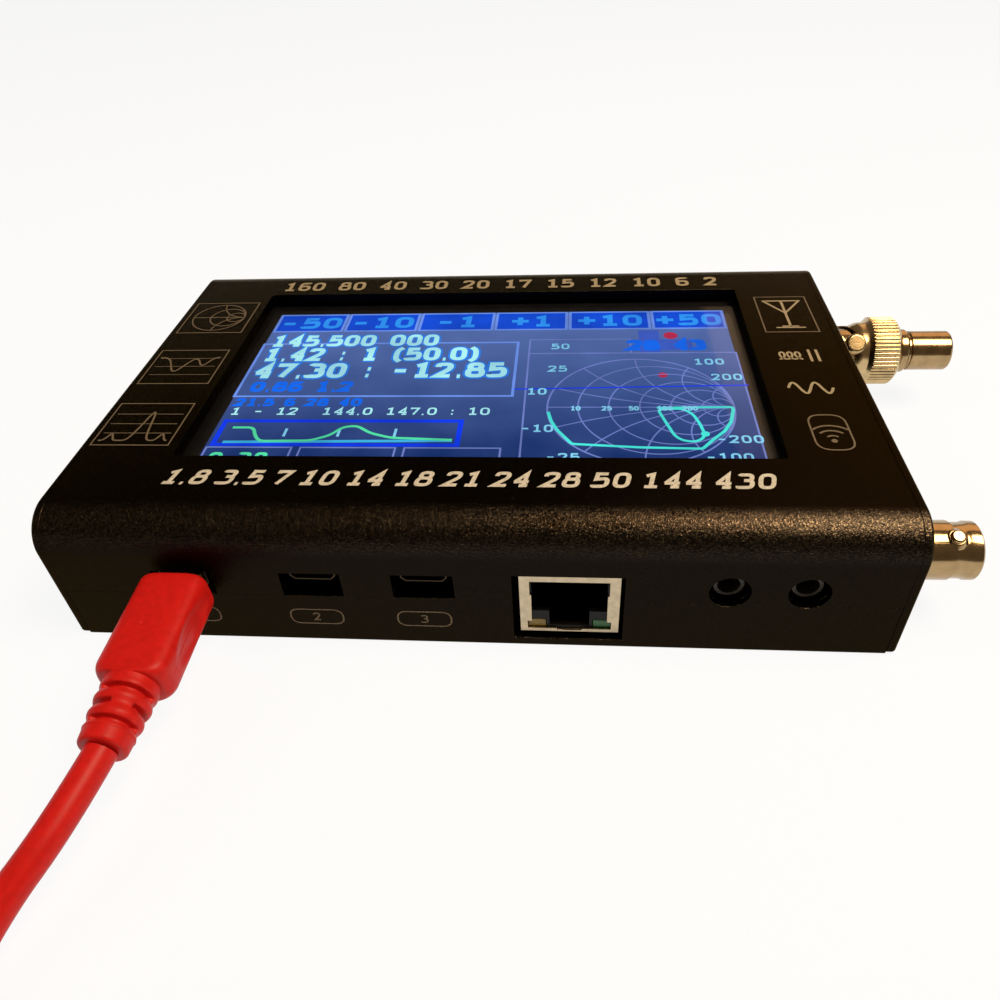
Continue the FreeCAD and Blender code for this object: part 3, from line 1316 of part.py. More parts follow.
for item in doc.Objects:
    if "Invalid" in item.State or "Error" in item.State:
        raise ValueError(f"{item.Label} failed: {item.State}")
os.makedirs("parts", exist_ok=True)
for piece in nodes:
    if piece.Shape.isNull() or not piece.Shape.isValid():
        raise ValueError(f"{piece.Label} has no valid shape")
    piece.Shape.exportStep(f"parts/{piece.Label}.step")
print(len(nodes), "pieces written")
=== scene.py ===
import math

import bmesh
import bpy
import numpy as np
from mathutils import Matrix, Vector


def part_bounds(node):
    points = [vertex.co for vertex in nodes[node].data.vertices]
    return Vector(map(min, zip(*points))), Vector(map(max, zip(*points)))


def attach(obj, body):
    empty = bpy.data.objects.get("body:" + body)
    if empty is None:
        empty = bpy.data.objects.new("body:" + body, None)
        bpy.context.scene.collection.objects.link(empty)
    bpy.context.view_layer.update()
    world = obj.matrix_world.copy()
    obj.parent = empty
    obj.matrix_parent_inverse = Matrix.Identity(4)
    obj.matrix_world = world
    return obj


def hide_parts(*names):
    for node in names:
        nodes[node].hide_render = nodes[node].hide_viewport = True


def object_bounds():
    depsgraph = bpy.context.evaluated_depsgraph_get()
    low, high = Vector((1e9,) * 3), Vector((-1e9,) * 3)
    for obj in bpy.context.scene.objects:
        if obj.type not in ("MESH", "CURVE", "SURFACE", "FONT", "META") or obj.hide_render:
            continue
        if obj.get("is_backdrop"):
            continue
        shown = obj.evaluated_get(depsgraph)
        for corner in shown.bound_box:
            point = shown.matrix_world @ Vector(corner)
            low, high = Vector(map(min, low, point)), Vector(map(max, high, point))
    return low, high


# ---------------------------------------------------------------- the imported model
# A hand-held antenna analyzer that lies on a table with its power lead plugged in. The CAD pack
# brings each rigid piece's shape and body, and the sections below follow how it is put together.
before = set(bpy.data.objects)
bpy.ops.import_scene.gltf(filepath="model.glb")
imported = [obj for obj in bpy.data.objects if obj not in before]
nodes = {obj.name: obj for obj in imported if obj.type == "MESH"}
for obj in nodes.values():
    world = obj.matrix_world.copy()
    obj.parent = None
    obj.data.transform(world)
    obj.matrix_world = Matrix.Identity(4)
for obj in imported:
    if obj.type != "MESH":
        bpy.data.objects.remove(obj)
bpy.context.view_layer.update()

# ---------------------------------------------------------------- camera
# A phone camera held close in front of the case and looking down at it. Places are millimetres
# in the part's own frame: X to the jacks, Y to the rear, Z up, from the middle of the underside.
MM = 0.001
CAMERA_PLACE = np.array([16.657, -129.311, 104.153])
YAW, PITCH, ROLL = np.radians([-6.80, 40.53, -3.84])
LENS = 28.71
NEAREST_SEEN = 10.0


def standing(right, up, back, place):
    """The placing of a camera or lamp: its own three axes, then its place in millimetres."""
    matrix = np.eye(4)
    matrix[:3] = np.stack([right, up, back, np.asarray(place) * MM], axis=1)
    return Matrix(matrix.tolist())


forward = np.array([math.sin(YAW) * math.cos(PITCH), math.cos(YAW) * math.cos(PITCH),
                    -math.sin(PITCH)])
level = np.array([math.cos(YAW), -math.sin(YAW), 0.0])
upright = np.cross(level, forward)
across = level * math.cos(ROLL) + upright * math.sin(ROLL)
above = upright * math.cos(ROLL) - level * math.sin(ROLL)
camera = bpy.data.objects.new("camera", bpy.data.cameras.new("camera"))
camera.data.lens = LENS
camera.data.clip_start = NEAREST_SEEN * MM
camera.matrix_world = standing(across, above, -forward, CAMERA_PLACE)
bpy.context.scene.collection.objects.link(camera)
bpy.context.scene.camera = camera
bpy.context.scene.view_settings.view_transform = "Standard"

# ---------------------------------------------------------------- table, light and surroundings
# White paper under the case, and pale walls as the camera, mirrors and glass see them. A low dim
# ceiling with a lit patch and the dark front of the room show in mirrors only. A warm lamp hangs
# on the right, and soft light comes from a window on the left.
ROOM_TONE, PATCH_TONE = "ffe4c8", "ffd0a0"
PAPER_REACH = 5.0
PAPER_GLOW = 0.9
CEILING_REACH, CEILING_HEIGHT = 4.0, 0.8
ROOM_FRONT = -1.5
PATCH_LOW, PATCH_HIGH = (0.3, 0.5), (1.4, 2.2)
PATCH_DROP = 0.01
PATCH_GLOW = 1.4
DIM = 0.14
WHITE = (1.0, 1.0, 1.0, 1.0)


def tone(hex_colour):
    """Linear colour of a display colour such as 'c8b48c', by the usual display curve."""
    values = np.array([int(hex_colour[at:at + 2], 16) for at in (0, 2, 4)]) / 255.0
    linear = np.where(values <= 0.04045, values / 12.92, ((values + 0.055) / 1.055) ** 2.4)
    return (*linear.tolist(), 1.0)


class Wire:
    """An output socket of a finish. Arithmetic on it adds Math nodes to that finish."""

    def __init__(self, finish, socket):
        self.finish = finish
        self.socket = socket

    def work(self, operation, first, second):
        return self.finish.add("Math", {"operation": operation}, {0: first, 1: second})

    def __add__(self, other):
        return self.work("ADD", self, other)

    def __sub__(self, other):
        return self.work("SUBTRACT", self, other)

    def __rsub__(self, other):
        return self.work("SUBTRACT", other, self)

    def __mul__(self, other):
        return self.work("MULTIPLY", self, other)

    def __pow__(self, other):
        return self.work("POWER", self, other)

    __radd__ = __add__
    __rmul__ = __mul__


class Finish:
    """A material or a world that is built of nodes."""

    def __init__(self, name, kind="Material"):
        self.material = (bpy.data.worlds if kind == "World" else bpy.data.materials).new(name)
        self.material.use_nodes = True
        self.tree = self.material.node_tree
        self.tree.nodes.clear()
        self.end = self.tree.nodes.new("ShaderNodeOutput" + kind)

    def add(self, kind, settings=None, sockets=None, output=0):
        """Puts in one node: its type, its settings, and the values or wires of its sockets."""
        node = self.tree.nodes.new("ShaderNode" + kind)
        for name, value in (settings or {}).items():
            if name == "stops":
                for element, (place, colour) in zip(node.color_ramp.elements, value):
                    element.position, element.color = place, colour
            else:
                setattr(node, name, value)
        for name, value in (sockets or {}).items():
            if isinstance(value, Wire):
                self.tree.links.new(value.socket, node.inputs[name])
            else:
                node.inputs[name].default_value = value
        return Wire(self, node.outputs[output])

    def place(self):
        """Object coordinates."""
        return self.add("TexCoord", output="Object")

    def ends_in(self, shader):
        """Makes a shader what the finish gives."""
        self.tree.links.new(shader.socket, self.end.inputs["Surface"])
        return self.material

    def close(self, sockets):
        """Ends the finish in a Principled shader."""
        return self.ends_in(self.add("BsdfPrincipled", {}, sockets))


def seen(finish):
    """1 where the camera, a mirror or glass looks at the surroundings, else 0."""
    return sum(finish.add("LightPath", output=f"Is {ray} Ray")
               for ray in ("Camera", "Glossy", "Transmission"))


def sheet(name, finish, corners):
    """A flat piece of the surroundings with four corners."""
    mesh = bpy.data.meshes.new(name)
    mesh.from_pydata(corners, [], [(0, 1, 2, 3)])
    mesh.materials.append(finish.material)
    thing = bpy.data.objects.new(name, mesh)
    bpy.context.scene.collection.objects.link(thing)
    thing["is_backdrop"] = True
    return thing


def flat_corners(low, high, height):
    """The corners of a level rectangle between its lowest and highest X and Y."""
    return [(*low, height), (high[0], low[1], height), (*high, height), (low[0], high[1], height)]


paper = Finish("white_paper")
bright = paper.add("Emission", {}, {"Color": WHITE, "Strength": 1.0})
matt = paper.add("BsdfDiffuse", {}, {"Color": (0.92, 0.92, 0.92, 1.0)})
paper.ends_in(paper.add("MixShader", {}, {"Fac": seen(paper) * PAPER_GLOW, 1: matt, 2: bright}))
sheet("table", paper, flat_corners((-PAPER_REACH, -PAPER_REACH), (PAPER_REACH, PAPER_REACH), 0.0))

dim, lit_patch = Finish("dim_ceiling"), Finish("lit_patch")
for finish, colour, strength in ((dim, ROOM_TONE, DIM), (lit_patch, PATCH_TONE, PATCH_GLOW)):
    finish.ends_in(finish.add("Emission", {}, {"Color": tone(colour), "Strength": strength}))
far = CEILING_REACH
front_corners = [(-far, ROOM_FRONT, 0.0), (far, ROOM_FRONT, 0.0),
                 (far, ROOM_FRONT, CEILING_HEIGHT), (-far, ROOM_FRONT, CEILING_HEIGHT)]
for mirrored in (
        sheet("ceiling", dim, flat_corners((-far, -far), (far, far), CEILING_HEIGHT)),
        sheet("room_front", dim, front_corners),
        sheet("ceiling_patch", lit_patch,
              flat_corners(PATCH_LOW, PATCH_HIGH, CEILING_HEIGHT - PATCH_DROP))):
    mirrored.visible_camera = False
    mirrored.visible_diffuse = False
    mirrored.visible_shadow = False

walls = Finish("walls", "World")
pale = seen(walls)
wall_tone = walls.add("MixRGB", {}, {"Fac": pale, "Color1": tone(ROOM_TONE), "Color2": WHITE})
bpy.context.scene.world = walls.ends_in(
    walls.add("Background", {}, {"Color": wall_tone, "Strength": pale * (1 - DIM) + DIM}))


def unit(vector):
    """A vector of the same direction and length 1."""
    return np.asarray(vector, float) / np.linalg.norm(vector)


def lamp(name, place, aim, size, power, colour):
    """A square area lamp at a place, turned to face a point. Its size is its edge in
    millimetres, and its power is in watts."""
    light = bpy.data.lights.new(name, "AREA")
    light.size = size * MM
    light.energy = power
    light.color = tone(colour)[:3]
    thing = bpy.data.objects.new(name, light)
    back = unit(np.subtract(place, aim))
    right = unit(np.cross([0.0, 0.0, 1.0], back))
    thing.matrix_world = standing(right, np.cross(back, right), back, place)
    bpy.context.scene.collection.objects.link(thing)
    return thing


lamp("room_lamp", place=(276, -57, 500), aim=(20, 0, 10), size=250, power=3.1, colour="ffe6c6")
window_light = lamp("window_light", place=(-380, -160, 520), aim=(0, 0, 10), size=420, power=1.1,
                    colour="fff4e6")
window_light.visible_glossy = False

# ---------------------------------------------------------------- power lead
# Red vinyl lead of one metre with a moulded mini plug in the power socket. What isn't needed is
# wound into six turns under a cable tie, with the large plug lying behind the coil.
CORD_DIAMETER = 4.5
CORD_ROUTE = [(-45.4, -74.88, 12.525), (-46.9, -84.7, 11.4), (-51.8, -94.2, 7.9),
              (-54.3, -105.0, 4.2)]
TAIL_ROUTE = [(-113.0, -104.5, 4.4), (-112.024, -92.934, 4.0), (-110.531, -82.036, 4.0)]
COIL_CENTRE = np.array([-83.0, -117.0])
COIL_OUTER = 29.5
COIL_TURNS = 5.53
COIL_START = 10.0
COIL_POINTS = 16
COIL_FLOOR = 2.35
LAYS_INWARD = [0, 1, 2, 2, 1, 0]
LOWER_TURNS = 2.0
SHIFT_START = 0.8


def shades(colour, dark, light):
    """Two stops of a ramp over noise: a display colour made darker, then lighter."""
    base = np.array(tone(colour)[:3])
    return ((0.35, (*(base * dark), 1.0)), (0.65, (*np.minimum(base * light, 1.0), 1.0)))


def plain(name, colour, roughness, metallic=0.0, grain=500.0, depth=0.00003, shine=0.5):
    """A moulded, rolled or cut finish: noise of a grain (per metre) and a depth in metres makes
    its colour, its roughness and its surface uneven."""
    finish = Finish(name)
    noise = finish.add("TexNoise", {}, {"Vector": finish.place(), "Scale": grain, "Detail": 4.0})
    uneven = finish.add("ValToRGB", {"stops": shades(colour, 0.82, 1.15)}, {"Fac": noise})
    dents = finish.add("Bump", {}, {"Strength": 0.2, "Distance": depth, "Height": noise})
    return finish.close({"Base Color": uneven, "Roughness": noise * 0.2 + (roughness - 0.1),
                         "Metallic": metallic, "Specular IOR Level": shine, "Normal": dents})


def finished(name, mesh, material, body, sharp=35.0):
    """Gives a mesh its finish and shading, and rides it on its body."""
    mesh.materials.clear()
    mesh.materials.append(material)
    mesh.polygons.foreach_set("use_smooth", np.ones(len(mesh.polygons), bool))
    mesh.set_sharp_from_angle(angle=math.radians(sharp))
    piece = bpy.data.objects.new(name, mesh)
    bpy.context.scene.collection.objects.link(piece)
    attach(piece, body)
    return piece


def dressed(node, material, body="case", edge=0.12, sharp=35.0):
    """A CAD node's own mesh, merged and with its edges broken, in place of the node."""
    mesh = nodes[node].data.copy()
    work = bmesh.new()
    work.from_mesh(mesh)
    bmesh.ops.remove_doubles(work, verts=work.verts, dist=1e-6)
    bmesh.ops.dissolve_limit(work, angle_limit=math.radians(0.3), verts=work.verts,
                             edges=work.edges)
    work.to_mesh(mesh)
    work.free()
    piece = finished(node + "_piece", mesh, material, body, sharp)
    if edge:
        rounding = piece.modifiers.new("edges", "BEVEL")
        rounding.width = edge * MM
        rounding.segments = 2
        rounding.limit_method = "ANGLE"
        rounding.angle_limit = math.radians(sharp)
    piece.modifiers.new("flat_faces", "WEIGHTED_NORMAL").keep_sharp = True
    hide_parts(node)
    return piece


def smooth(values, low, high):
    """0 below low, 1 above high, and an even S between them."""
    part = np.clip((values - low) / (high - low), 0.0, 1.0)
    return part * part * (3.0 - 2.0 * part)


def coil_line():
    """Points along the coil. The angle falls evenly. Near the end of each turn the radius steps
    by one cord to the next lay in an even S, inward and out again, and near the end of the lower
    turns the height climbs by one cord in a straight line."""
    turns = np.arange(0.0, COIL_TURNS, 1.0 / COIL_POINTS)
    whole = np.floor(turns)
    inward = np.interp(whole, range(len(LAYS_INWARD)), LAYS_INWARD)
    next_inward = np.interp(whole + 1, range(len(LAYS_INWARD)), LAYS_INWARD)
    radius = COIL_OUTER - CORD_DIAMETER * (
        inward + (next_inward - inward) * smooth(turns - whole, SHIFT_START, 1.0))
    climb = np.clip(turns - LOWER_TURNS - SHIFT_START, 0.0, 1.0 - SHIFT_START)
    height = COIL_FLOOR + CORD_DIAMETER * climb / (1.0 - SHIFT_START)
    angle = np.radians(COIL_START - 360.0 * turns)
    return np.stack([COIL_CENTRE[0] + radius * np.cos(angle),
                     COIL_CENTRE[1] + radius * np.sin(angle), height], axis=1)


red = Finish("red_vinyl")
grain = red.add("TexNoise", {}, {"Vector": red.place(), "Scale": 900.0, "Detail": 3.0})
red_dents = red.add("Bump", {}, {"Strength": 0.12, "Distance": 0.00006, "Height": grain})
red_vinyl = red.close({
    "Base Color": red.add("ValToRGB", {"stops": shades("c41914", 0.92, 1.05)}, {"Fac": grain}),
    "Roughness": grain * 0.16 + 0.34, "Normal": red_dents, "Specular IOR Level": 0.2})

cord_points = np.vstack([CORD_ROUTE, coil_line(), TAIL_ROUTE])
cord_curve = bpy.data.curves.new("lead", "CURVE")
cord_curve.dimensions = "3D"
cord_curve.bevel_depth = CORD_DIAMETER / 2 * MM
cord_curve.bevel_resolution = 8
cord_curve.resolution_u = 8
cord_curve.use_fill_caps = True
spline = cord_curve.splines.new("NURBS")
spline.points.add(len(cord_points) - 1)
weighted = np.hstack([cord_points * MM, np.ones((len(cord_points), 1))])
spline.points.foreach_set("co", weighted.ravel())
spline.order_u = 3
spline.use_endpoint_u = True
cord_curve.materials.append(red_vinyl)
lead = bpy.data.objects.new("lead", cord_curve)
bpy.context.scene.collection.objects.link(lead)
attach(lead, "usb_lead")
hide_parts("usb_cord", "usb_coil", "usb_cord_tail")

black_nylon = plain("black_nylon", "15140f", 0.5)
tie = dressed("cord_tie", black_nylon, "usb_lead")
tin = Finish("tinned_sheet")
brushing = tin.add("TexNoise", {}, {"Vector": tin.place(), "Scale": 700.0, "Detail": 4.0})
tin_plate = tin.close({
    "Base Color": tin.add("ValToRGB", {"stops": shades("c4b294", 0.85, 1.1)}, {"Fac": brushing}),
    "Metallic": 1.0, "Roughness": brushing * 0.2 + 0.26})
white_plastic = plain("white_plastic", "e6e0d2", 0.45)
far_grip = dressed("far_plug_grip", red_vinyl, "usb_lead", edge=0.3)
far_shell = dressed("far_plug_shell", tin_plate, "usb_lead")
far_tongue = dressed("far_plug_tongue", white_plastic, "usb_lead")

# ---------------------------------------------------------------- mini plug
# A vinyl grip moulded round the metal shell, with finger dishes in its sides, runs into a round
# boot whose three rows of slots let it bend. It droops a little in the socket.
PLUG_PIVOT = np.array([-45.4, -41.9, 13.85])
PLUG_DROOP = math.radians(2.3)
GRIP_START, GRIP_LENGTH = 4.5, 18.3
GRIP_WIDTH, GRIP_HEIGHT = 10.8, 8.0
GRIP_SQUARENESS, ROUND_SQUARENESS = 4.2, 2.0
NOSE_LENGTH, NOSE_DROP = 1.2, 0.15
SHOULDER_LENGTH, SHOULDER_REACH = 2.0, 2.2
DISH_MIDDLE, DISH_LENGTH, DISH_HEIGHT, DISH_DEPTH = 8.6, 5.4, 2.5, 0.5
SEAM_WIDTH, SEAM_HEIGHT = 0.12, 0.05
DIMPLE_PLACE, DIMPLE_SPREAD, DIMPLE_DEPTH = (-0.6, 10.2), 0.10, 0.25
BOOT_LENGTH = 10.2
BOOT_RADIUS, BOOT_TAPER = 4.1, 0.07
BOOT_EDGE, BOOT_EDGE_DROP = 0.55, 0.5
COLLAR_START, COLLAR_END = 2.3, 1.9
SLOT_ROWS, SLOT_STEP, SLOT_DEPTH = (2.3, 4.7, 7.1), 2.4, 1.0
SLOT_TURN = 62.0
SWELL, SWELL_MIDDLE = 0.16, 3.5

plug_out = np.array([0.0, -math.cos(PLUG_DROOP), -math.sin(PLUG_DROOP)])
plug_up = np.array([0.0, -math.sin(PLUG_DROOP), math.cos(PLUG_DROOP)])
plug_side = np.array([1.0, 0.0, 0.0])


def quarter_round(part):
    """Rises from 0 to 1 as a quarter of a circle while part goes from 0 to 1."""
    return np.sqrt(np.clip(1.0 - (1.0 - np.clip(part, 0.0, 1.0)) ** 2, 0.0, 1.0))


def plug_surface():
    """Rows at a distance s along the plug, columns at an angle a round it. A cross-section of the
    grip is a superellipse: x and z as shares of the half sizes, each to a power, add up to 1. The
    power falls from a box's to a circle's along the shoulder. Nose and shoulder are quarter
    rounds, each side has an oval dish and a seam, and the top a dimple. The boot is a cone with a
    rounded end. Each of its rows is two wide slots, turned by a quarter from row to row, and
    between the rows it swells by a cosine."""
    end = GRIP_LENGTH + BOOT_LENGTH
    stations = np.concatenate([
        np.linspace(0.0, NOSE_LENGTH, 16), np.linspace(1.3, GRIP_LENGTH - SHOULDER_LENGTH, 70),
        np.linspace(GRIP_LENGTH - 1.95, end, 210)])
    way = np.linspace(0.0, 2 * np.pi, 241)[:-1]
    s, a = np.meshgrid(stations, way, indexing="ij")
    cos, sin = np.cos(a), np.sin(a)
    past_grip = s - GRIP_LENGTH

    # The grip's half sizes and cross-section, then its dishes, seams and dimple.
    nose = 1.0 - NOSE_DROP * (1.0 - quarter_round(s / NOSE_LENGTH))
    shoulder = 1.0 - quarter_round(1.0 - (past_grip + SHOULDER_LENGTH) / SHOULDER_REACH)
    half_width = GRIP_WIDTH / 2 * nose * (1 - shoulder) + BOOT_RADIUS * shoulder
    half_height = GRIP_HEIGHT / 2 * nose * (1 - shoulder) + BOOT_RADIUS * shoulder
    power = GRIP_SQUARENESS * (1 - shoulder) + ROUND_SQUARENESS * shoulder
    reach = (np.abs(cos) ** power + np.abs(sin) ** power) ** (-1.0 / power)
    x = half_width * reach * cos
    z = half_height * reach * sin
    oval = ((s - DISH_MIDDLE) / DISH_LENGTH) ** 2 + (z / DISH_HEIGHT) ** 2
    dish = smooth(1.5 - oval, 0.0, 1.3) * (1 - shoulder)
    seam = np.exp(-(z / SEAM_WIDTH) ** 2) * (1 - shoulder) * smooth(s, 0.6, NOSE_LENGTH)
    on_side = np.sign(cos) * (np.abs(cos) > 0.3)
    x = x - on_side * (DISH_DEPTH * dish - SEAM_HEIGHT * seam)
    from_dimple = (x - DIMPLE_PLACE[0]) ** 2 + (s - DIMPLE_PLACE[1]) ** 2
    z = z - DIMPLE_DEPTH * np.exp(-from_dimple / DIMPLE_SPREAD) * (sin > 0.5)

    # The boot's cone with its rounded end, then its slots and the swell between them.
    rounding = BOOT_EDGE_DROP * (1.0 - quarter_round((end - s) / BOOT_EDGE))
    radius = BOOT_RADIUS - BOOT_TAPER * past_grip - rounding
    slots = np.zeros_like(s)
    for row, middle in enumerate(SLOT_ROWS):
        along = 1.0 - smooth(np.abs(past_grip - middle), 0.3, 0.5)
        turned = a - math.radians(SLOT_TURN + 90.0 * (row % 2))
        slots = np.maximum(slots, along * smooth(np.cos(2.0 * turned), -0.72, -0.5))
    collar = smooth(s, end - COLLAR_START, end - COLLAR_END)
    swell = SWELL * np.cos((past_grip - SWELL_MIDDLE) / SLOT_STEP * 2 * np.pi)
    swell = swell * (1 - collar) * smooth(past_grip, 0.8, 2.2)
    radius = radius - SLOT_DEPTH * slots + swell * (1 - slots)

    # The boot takes over from the grip within half a millimetre, and the plug is laid in place.
    boot_share = smooth(past_grip, 0.1, 0.5)
    x = x * (1 - boot_share) + radius * cos * boot_share
    z = z * (1 - boot_share) + radius * sin * boot_share
    points = (PLUG_PIVOT + (GRIP_START + s)[..., None] * plug_out + x[..., None] * plug_side
              + z[..., None] * plug_up)
    caps = [np.broadcast_to(PLUG_PIVOT + (GRIP_START + at) * plug_out, points[:1].shape)
            for at in (0.0, end)]
    return np.concatenate([caps[0], points, caps[1]])


def grid_faces(rows, columns, wrap=False):
    """Quads of a grid of points in row order; wrap joins the last column to the first."""
    last = columns if wrap else columns - 1
    row, column = np.meshgrid(np.arange(rows - 1), np.arange(last), indexing="ij")
    following = (column + 1) % columns
    quads = np.stack([row * columns + column, row * columns + following,
                      (row + 1) * columns + following, (row + 1) * columns + column], axis=-1)
    return quads.reshape(-1, 4)


def piece_of(name, points, faces, material, body, sharp=35.0, solid=True):
    """A piece from arrays of points in millimetres and of faces. Points that coincide become
    one, and the faces of a solid are turned outwards."""
    mesh = bpy.data.meshes.new(name)
    mesh.from_pydata((np.reshape(points, (-1, 3)) * MM).tolist(), [], np.asarray(faces).tolist())
    work = bmesh.new()
    work.from_mesh(mesh)
    bmesh.ops.remove_doubles(work, verts=work.verts, dist=1e-7)
    if solid:
        bmesh.ops.recalc_face_normals(work, faces=work.faces)
    work.to_mesh(mesh)
    work.free()
    return finished(name, mesh, material, body, sharp)


plug_points = plug_surface()
plug = piece_of("plug_grip", plug_points, grid_faces(*plug_points.shape[:2], wrap=True),
                red_vinyl, "usb_lead", sharp=50.0)
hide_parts("plug_moulding")
dressed("plug_shell", tin_plate, "usb_lead", edge=0.05)
dressed("plug_insert", white_plastic, "usb_lead", edge=0.05)

# ---------------------------------------------------------------- case
# Two aluminium extrusions and two end plates, bead-blasted and anodised black. The fine grain
# breaks highlights into sparkles, and the round edges get a painted highlight: a lighter colour.
black = Finish("black_anodised")
fine = black.add("TexNoise", {}, {"Vector": black.place(), "Scale": 6500.0, "Detail": 0.0})
coarse = black.add("TexNoise", {}, {"Vector": black.place(), "Scale": 2400.0, "Detail": 2.0})
cells = black.add("TexVoronoi", {}, {"Vector": black.place(), "Scale": 4800.0}, "Color")
painted_sparkle = cells * cells
blasting = black.add("Bump", {}, {"Strength": 1.0, "Distance": 0.000055,
                                  "Height": fine + coarse * 0.1 + cells * 0.2})
facing = black.add("TexCoord", output="Normal")
sideways = black.add("SeparateXYZ", {}, {"Vector": facing}, "Y")
upwards = black.add("SeparateXYZ", {}, {"Vector": facing}, "Z")
# Painted highlight: faces turned up and to the front or rear, the round edges most, get a lighter,
# sparkling base colour.
painted_highlight_mask = (sideways * sideways) ** 0.5 * upwards * upwards
# The ramp gives a random grain tone plus that painted highlight.
grain_and_painted_highlight = black.add("ValToRGB", {"stops": ((0.0, tone("100e0d")), (1.0, tone("6a5c49")))},
                 {"Fac": fine * 0.06 + painted_highlight_mask * (painted_sparkle * 2.3 + 0.15)})
black_anodised = black.close({"Base Color": grain_and_painted_highlight, "Metallic": 1.0, "Normal": blasting,
                              "Specular Tint": tone("c6beb2"), "Roughness": fine * 0.14 + 0.13})

for node, edge in (("top_shell", 0.15), ("bottom_shell", 0.15), ("left_end_plate", 0.08),
                   ("right_end_plate", 0.12)):
    dressed(node, black_anodised, edge=edge)
black_steel = plain("blackened_steel", "3a3632", 0.38, 1.0, 900.0)
for node in ("left_plate_screws", "right_plate_screws", "board_screws"):
    dressed(node, black_steel, edge=0.05)

# ---------------------------------------------------------------- engravings
# The laser burns the black coat away and leaves cream marks: frequency figures before and behind
# the window, three chart signs on its left and four signs on its right, and numbered ports. Each
# mark is flat, worked out in a plane of its own and laid on its face a hair proud.
PROUD = 0.02
FIGURE_STEP, FIGURE_WIDTH = 0.80, 0.6
LIFT = 0.002
NARROW = {".": 0.36, ":": 0.36, "(": 0.48, ")": 0.48, " ": 0.62}
# Each figure is a few strokes in a box FIGURE_WIDTH wide and 1 high: whether the stroke is
# closed, then its corners as across, up and radius of the corner.
STROKES = {
    "0": [(True, [(0.06, 0.08, 0.3), (0.54, 0.08, 0.3), (0.54, 0.92, 0.3), (0.06, 0.92, 0.3)])],
    "1": [(False, [(0.08, 0.80, 0), (0.32, 0.92, 0), (0.32, 0.08, 0)]),
          (False, [(0.08, 0.08, 0), (0.56, 0.08, 0)])],
    "2": [(False, [(0.07, 0.72, 0), (0.08, 0.92, 0.2), (0.52, 0.92, 0.2), (0.53, 0.60, 0.2),
                   (0.07, 0.08, 0), (0.56, 0.08, 0)])],
    "3": [(False, [(0.07, 0.84, 0), (0.10, 0.92, 0.05), (0.52, 0.92, 0.2), (0.52, 0.54, 0.2),
                   (0.24, 0.54, 0)]),
          (False, [(0.24, 0.54, 0), (0.55, 0.54, 0.2), (0.55, 0.08, 0.22), (0.04, 0.08, 0.1),
                   (0.04, 0.18, 0)])],
    "4": [(False, [(0.43, 0.08, 0), (0.43, 0.92, 0), (0.06, 0.33, 0)]),
          (False, [(0.02, 0.33, 0), (0.58, 0.33, 0)]), (False, [(0.26, 0.08, 0), (0.58, 0.08, 0)])],
    "5": [(False, [(0.52, 0.92, 0), (0.12, 0.92, 0), (0.11, 0.54, 0), (0.55, 0.62, 0.25),
                   (0.55, 0.08, 0.25), (0.04, 0.08, 0.1), (0.04, 0.18, 0)])],
    "6": [(False, [(0.53, 0.86, 0), (0.50, 0.92, 0.05), (0.06, 0.92, 0.3), (0.06, 0.50, 0)]),
          (True, [(0.06, 0.08, 0.22), (0.55, 0.08, 0.22), (0.55, 0.56, 0.22),
                  (0.06, 0.56, 0.22)])],
    "7": [(False, [(0.06, 0.78, 0), (0.06, 0.92, 0), (0.54, 0.92, 0), (0.24, 0.04, 0)])],
    "8": [(True, [(0.10, 0.54, 0.18), (0.50, 0.54, 0.18), (0.50, 0.92, 0.18),
                  (0.10, 0.92, 0.18)]),
          (True, [(0.05, 0.08, 0.2), (0.55, 0.08, 0.2), (0.55, 0.54, 0.2), (0.05, 0.54, 0.2)])],
    "9": [(False, [(0.07, 0.14, 0), (0.10, 0.08, 0.05), (0.54, 0.08, 0.3), (0.54, 0.50, 0)]),
          (True, [(0.05, 0.44, 0.22), (0.54, 0.44, 0.22), (0.54, 0.92, 0.22),
                  (0.05, 0.92, 0.22)])],
    ".": [(False, [(0.02, 0.05, 0), (0.14, 0.05, 0)])],
    ":": [(False, [(0.02, 0.12, 0), (0.14, 0.12, 0)]), (False, [(0.02, 0.6, 0), (0.14, 0.6, 0)])],
    "-": [(False, [(0.08, 0.46, 0), (0.50, 0.46, 0)])],
    "+": [(False, [(0.0, 0.5, 0), (0.6, 0.5, 0)]), (False, [(0.30, 0.12, 0), (0.30, 0.88, 0)])],
    "(": [(False, [(0.26, 1.02, 0), (0.04, 0.8, 0.3), (0.04, 0.1, 0.3), (0.26, -0.12, 0)])],
    ")": [(False, [(0.02, 1.02, 0), (0.24, 0.8, 0.3), (0.24, 0.1, 0.3), (0.02, -0.12, 0)])],
}


def part_box(node):
    """Lowest and highest corner of a node, in millimetres."""
    return [np.array(corner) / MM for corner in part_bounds(node)]


def softened(points, radius, steps=4, closed=False):
    """A polyline whose corners are rounded. Each corner becomes a quadratic curve that leaves
    its run and joins the next a radius from the corner, or just under half a run where that is
    less. The radius is one number, or one for each point."""
    points = np.asarray(points, float)
    ends = []
    for turn in (1, -1):
        run = np.roll(points, turn, axis=0) - points
        span = np.linalg.norm(run, axis=1)
        ends.append(points + run * (np.minimum(radius, 0.45 * span) / span)[:, None])
    part = np.linspace(0.0, 1.0, steps + 1)[None, :, None]
    curve = (ends[0][:, None] * (1 - part) ** 2 + points[:, None] * 2 * part * (1 - part)
             + ends[1][:, None] * part ** 2)
    if closed:
        return curve.reshape(-1, points.shape[1])
    return np.vstack([points[:1], curve[1:-1].reshape(-1, points.shape[1]), points[-1:]])


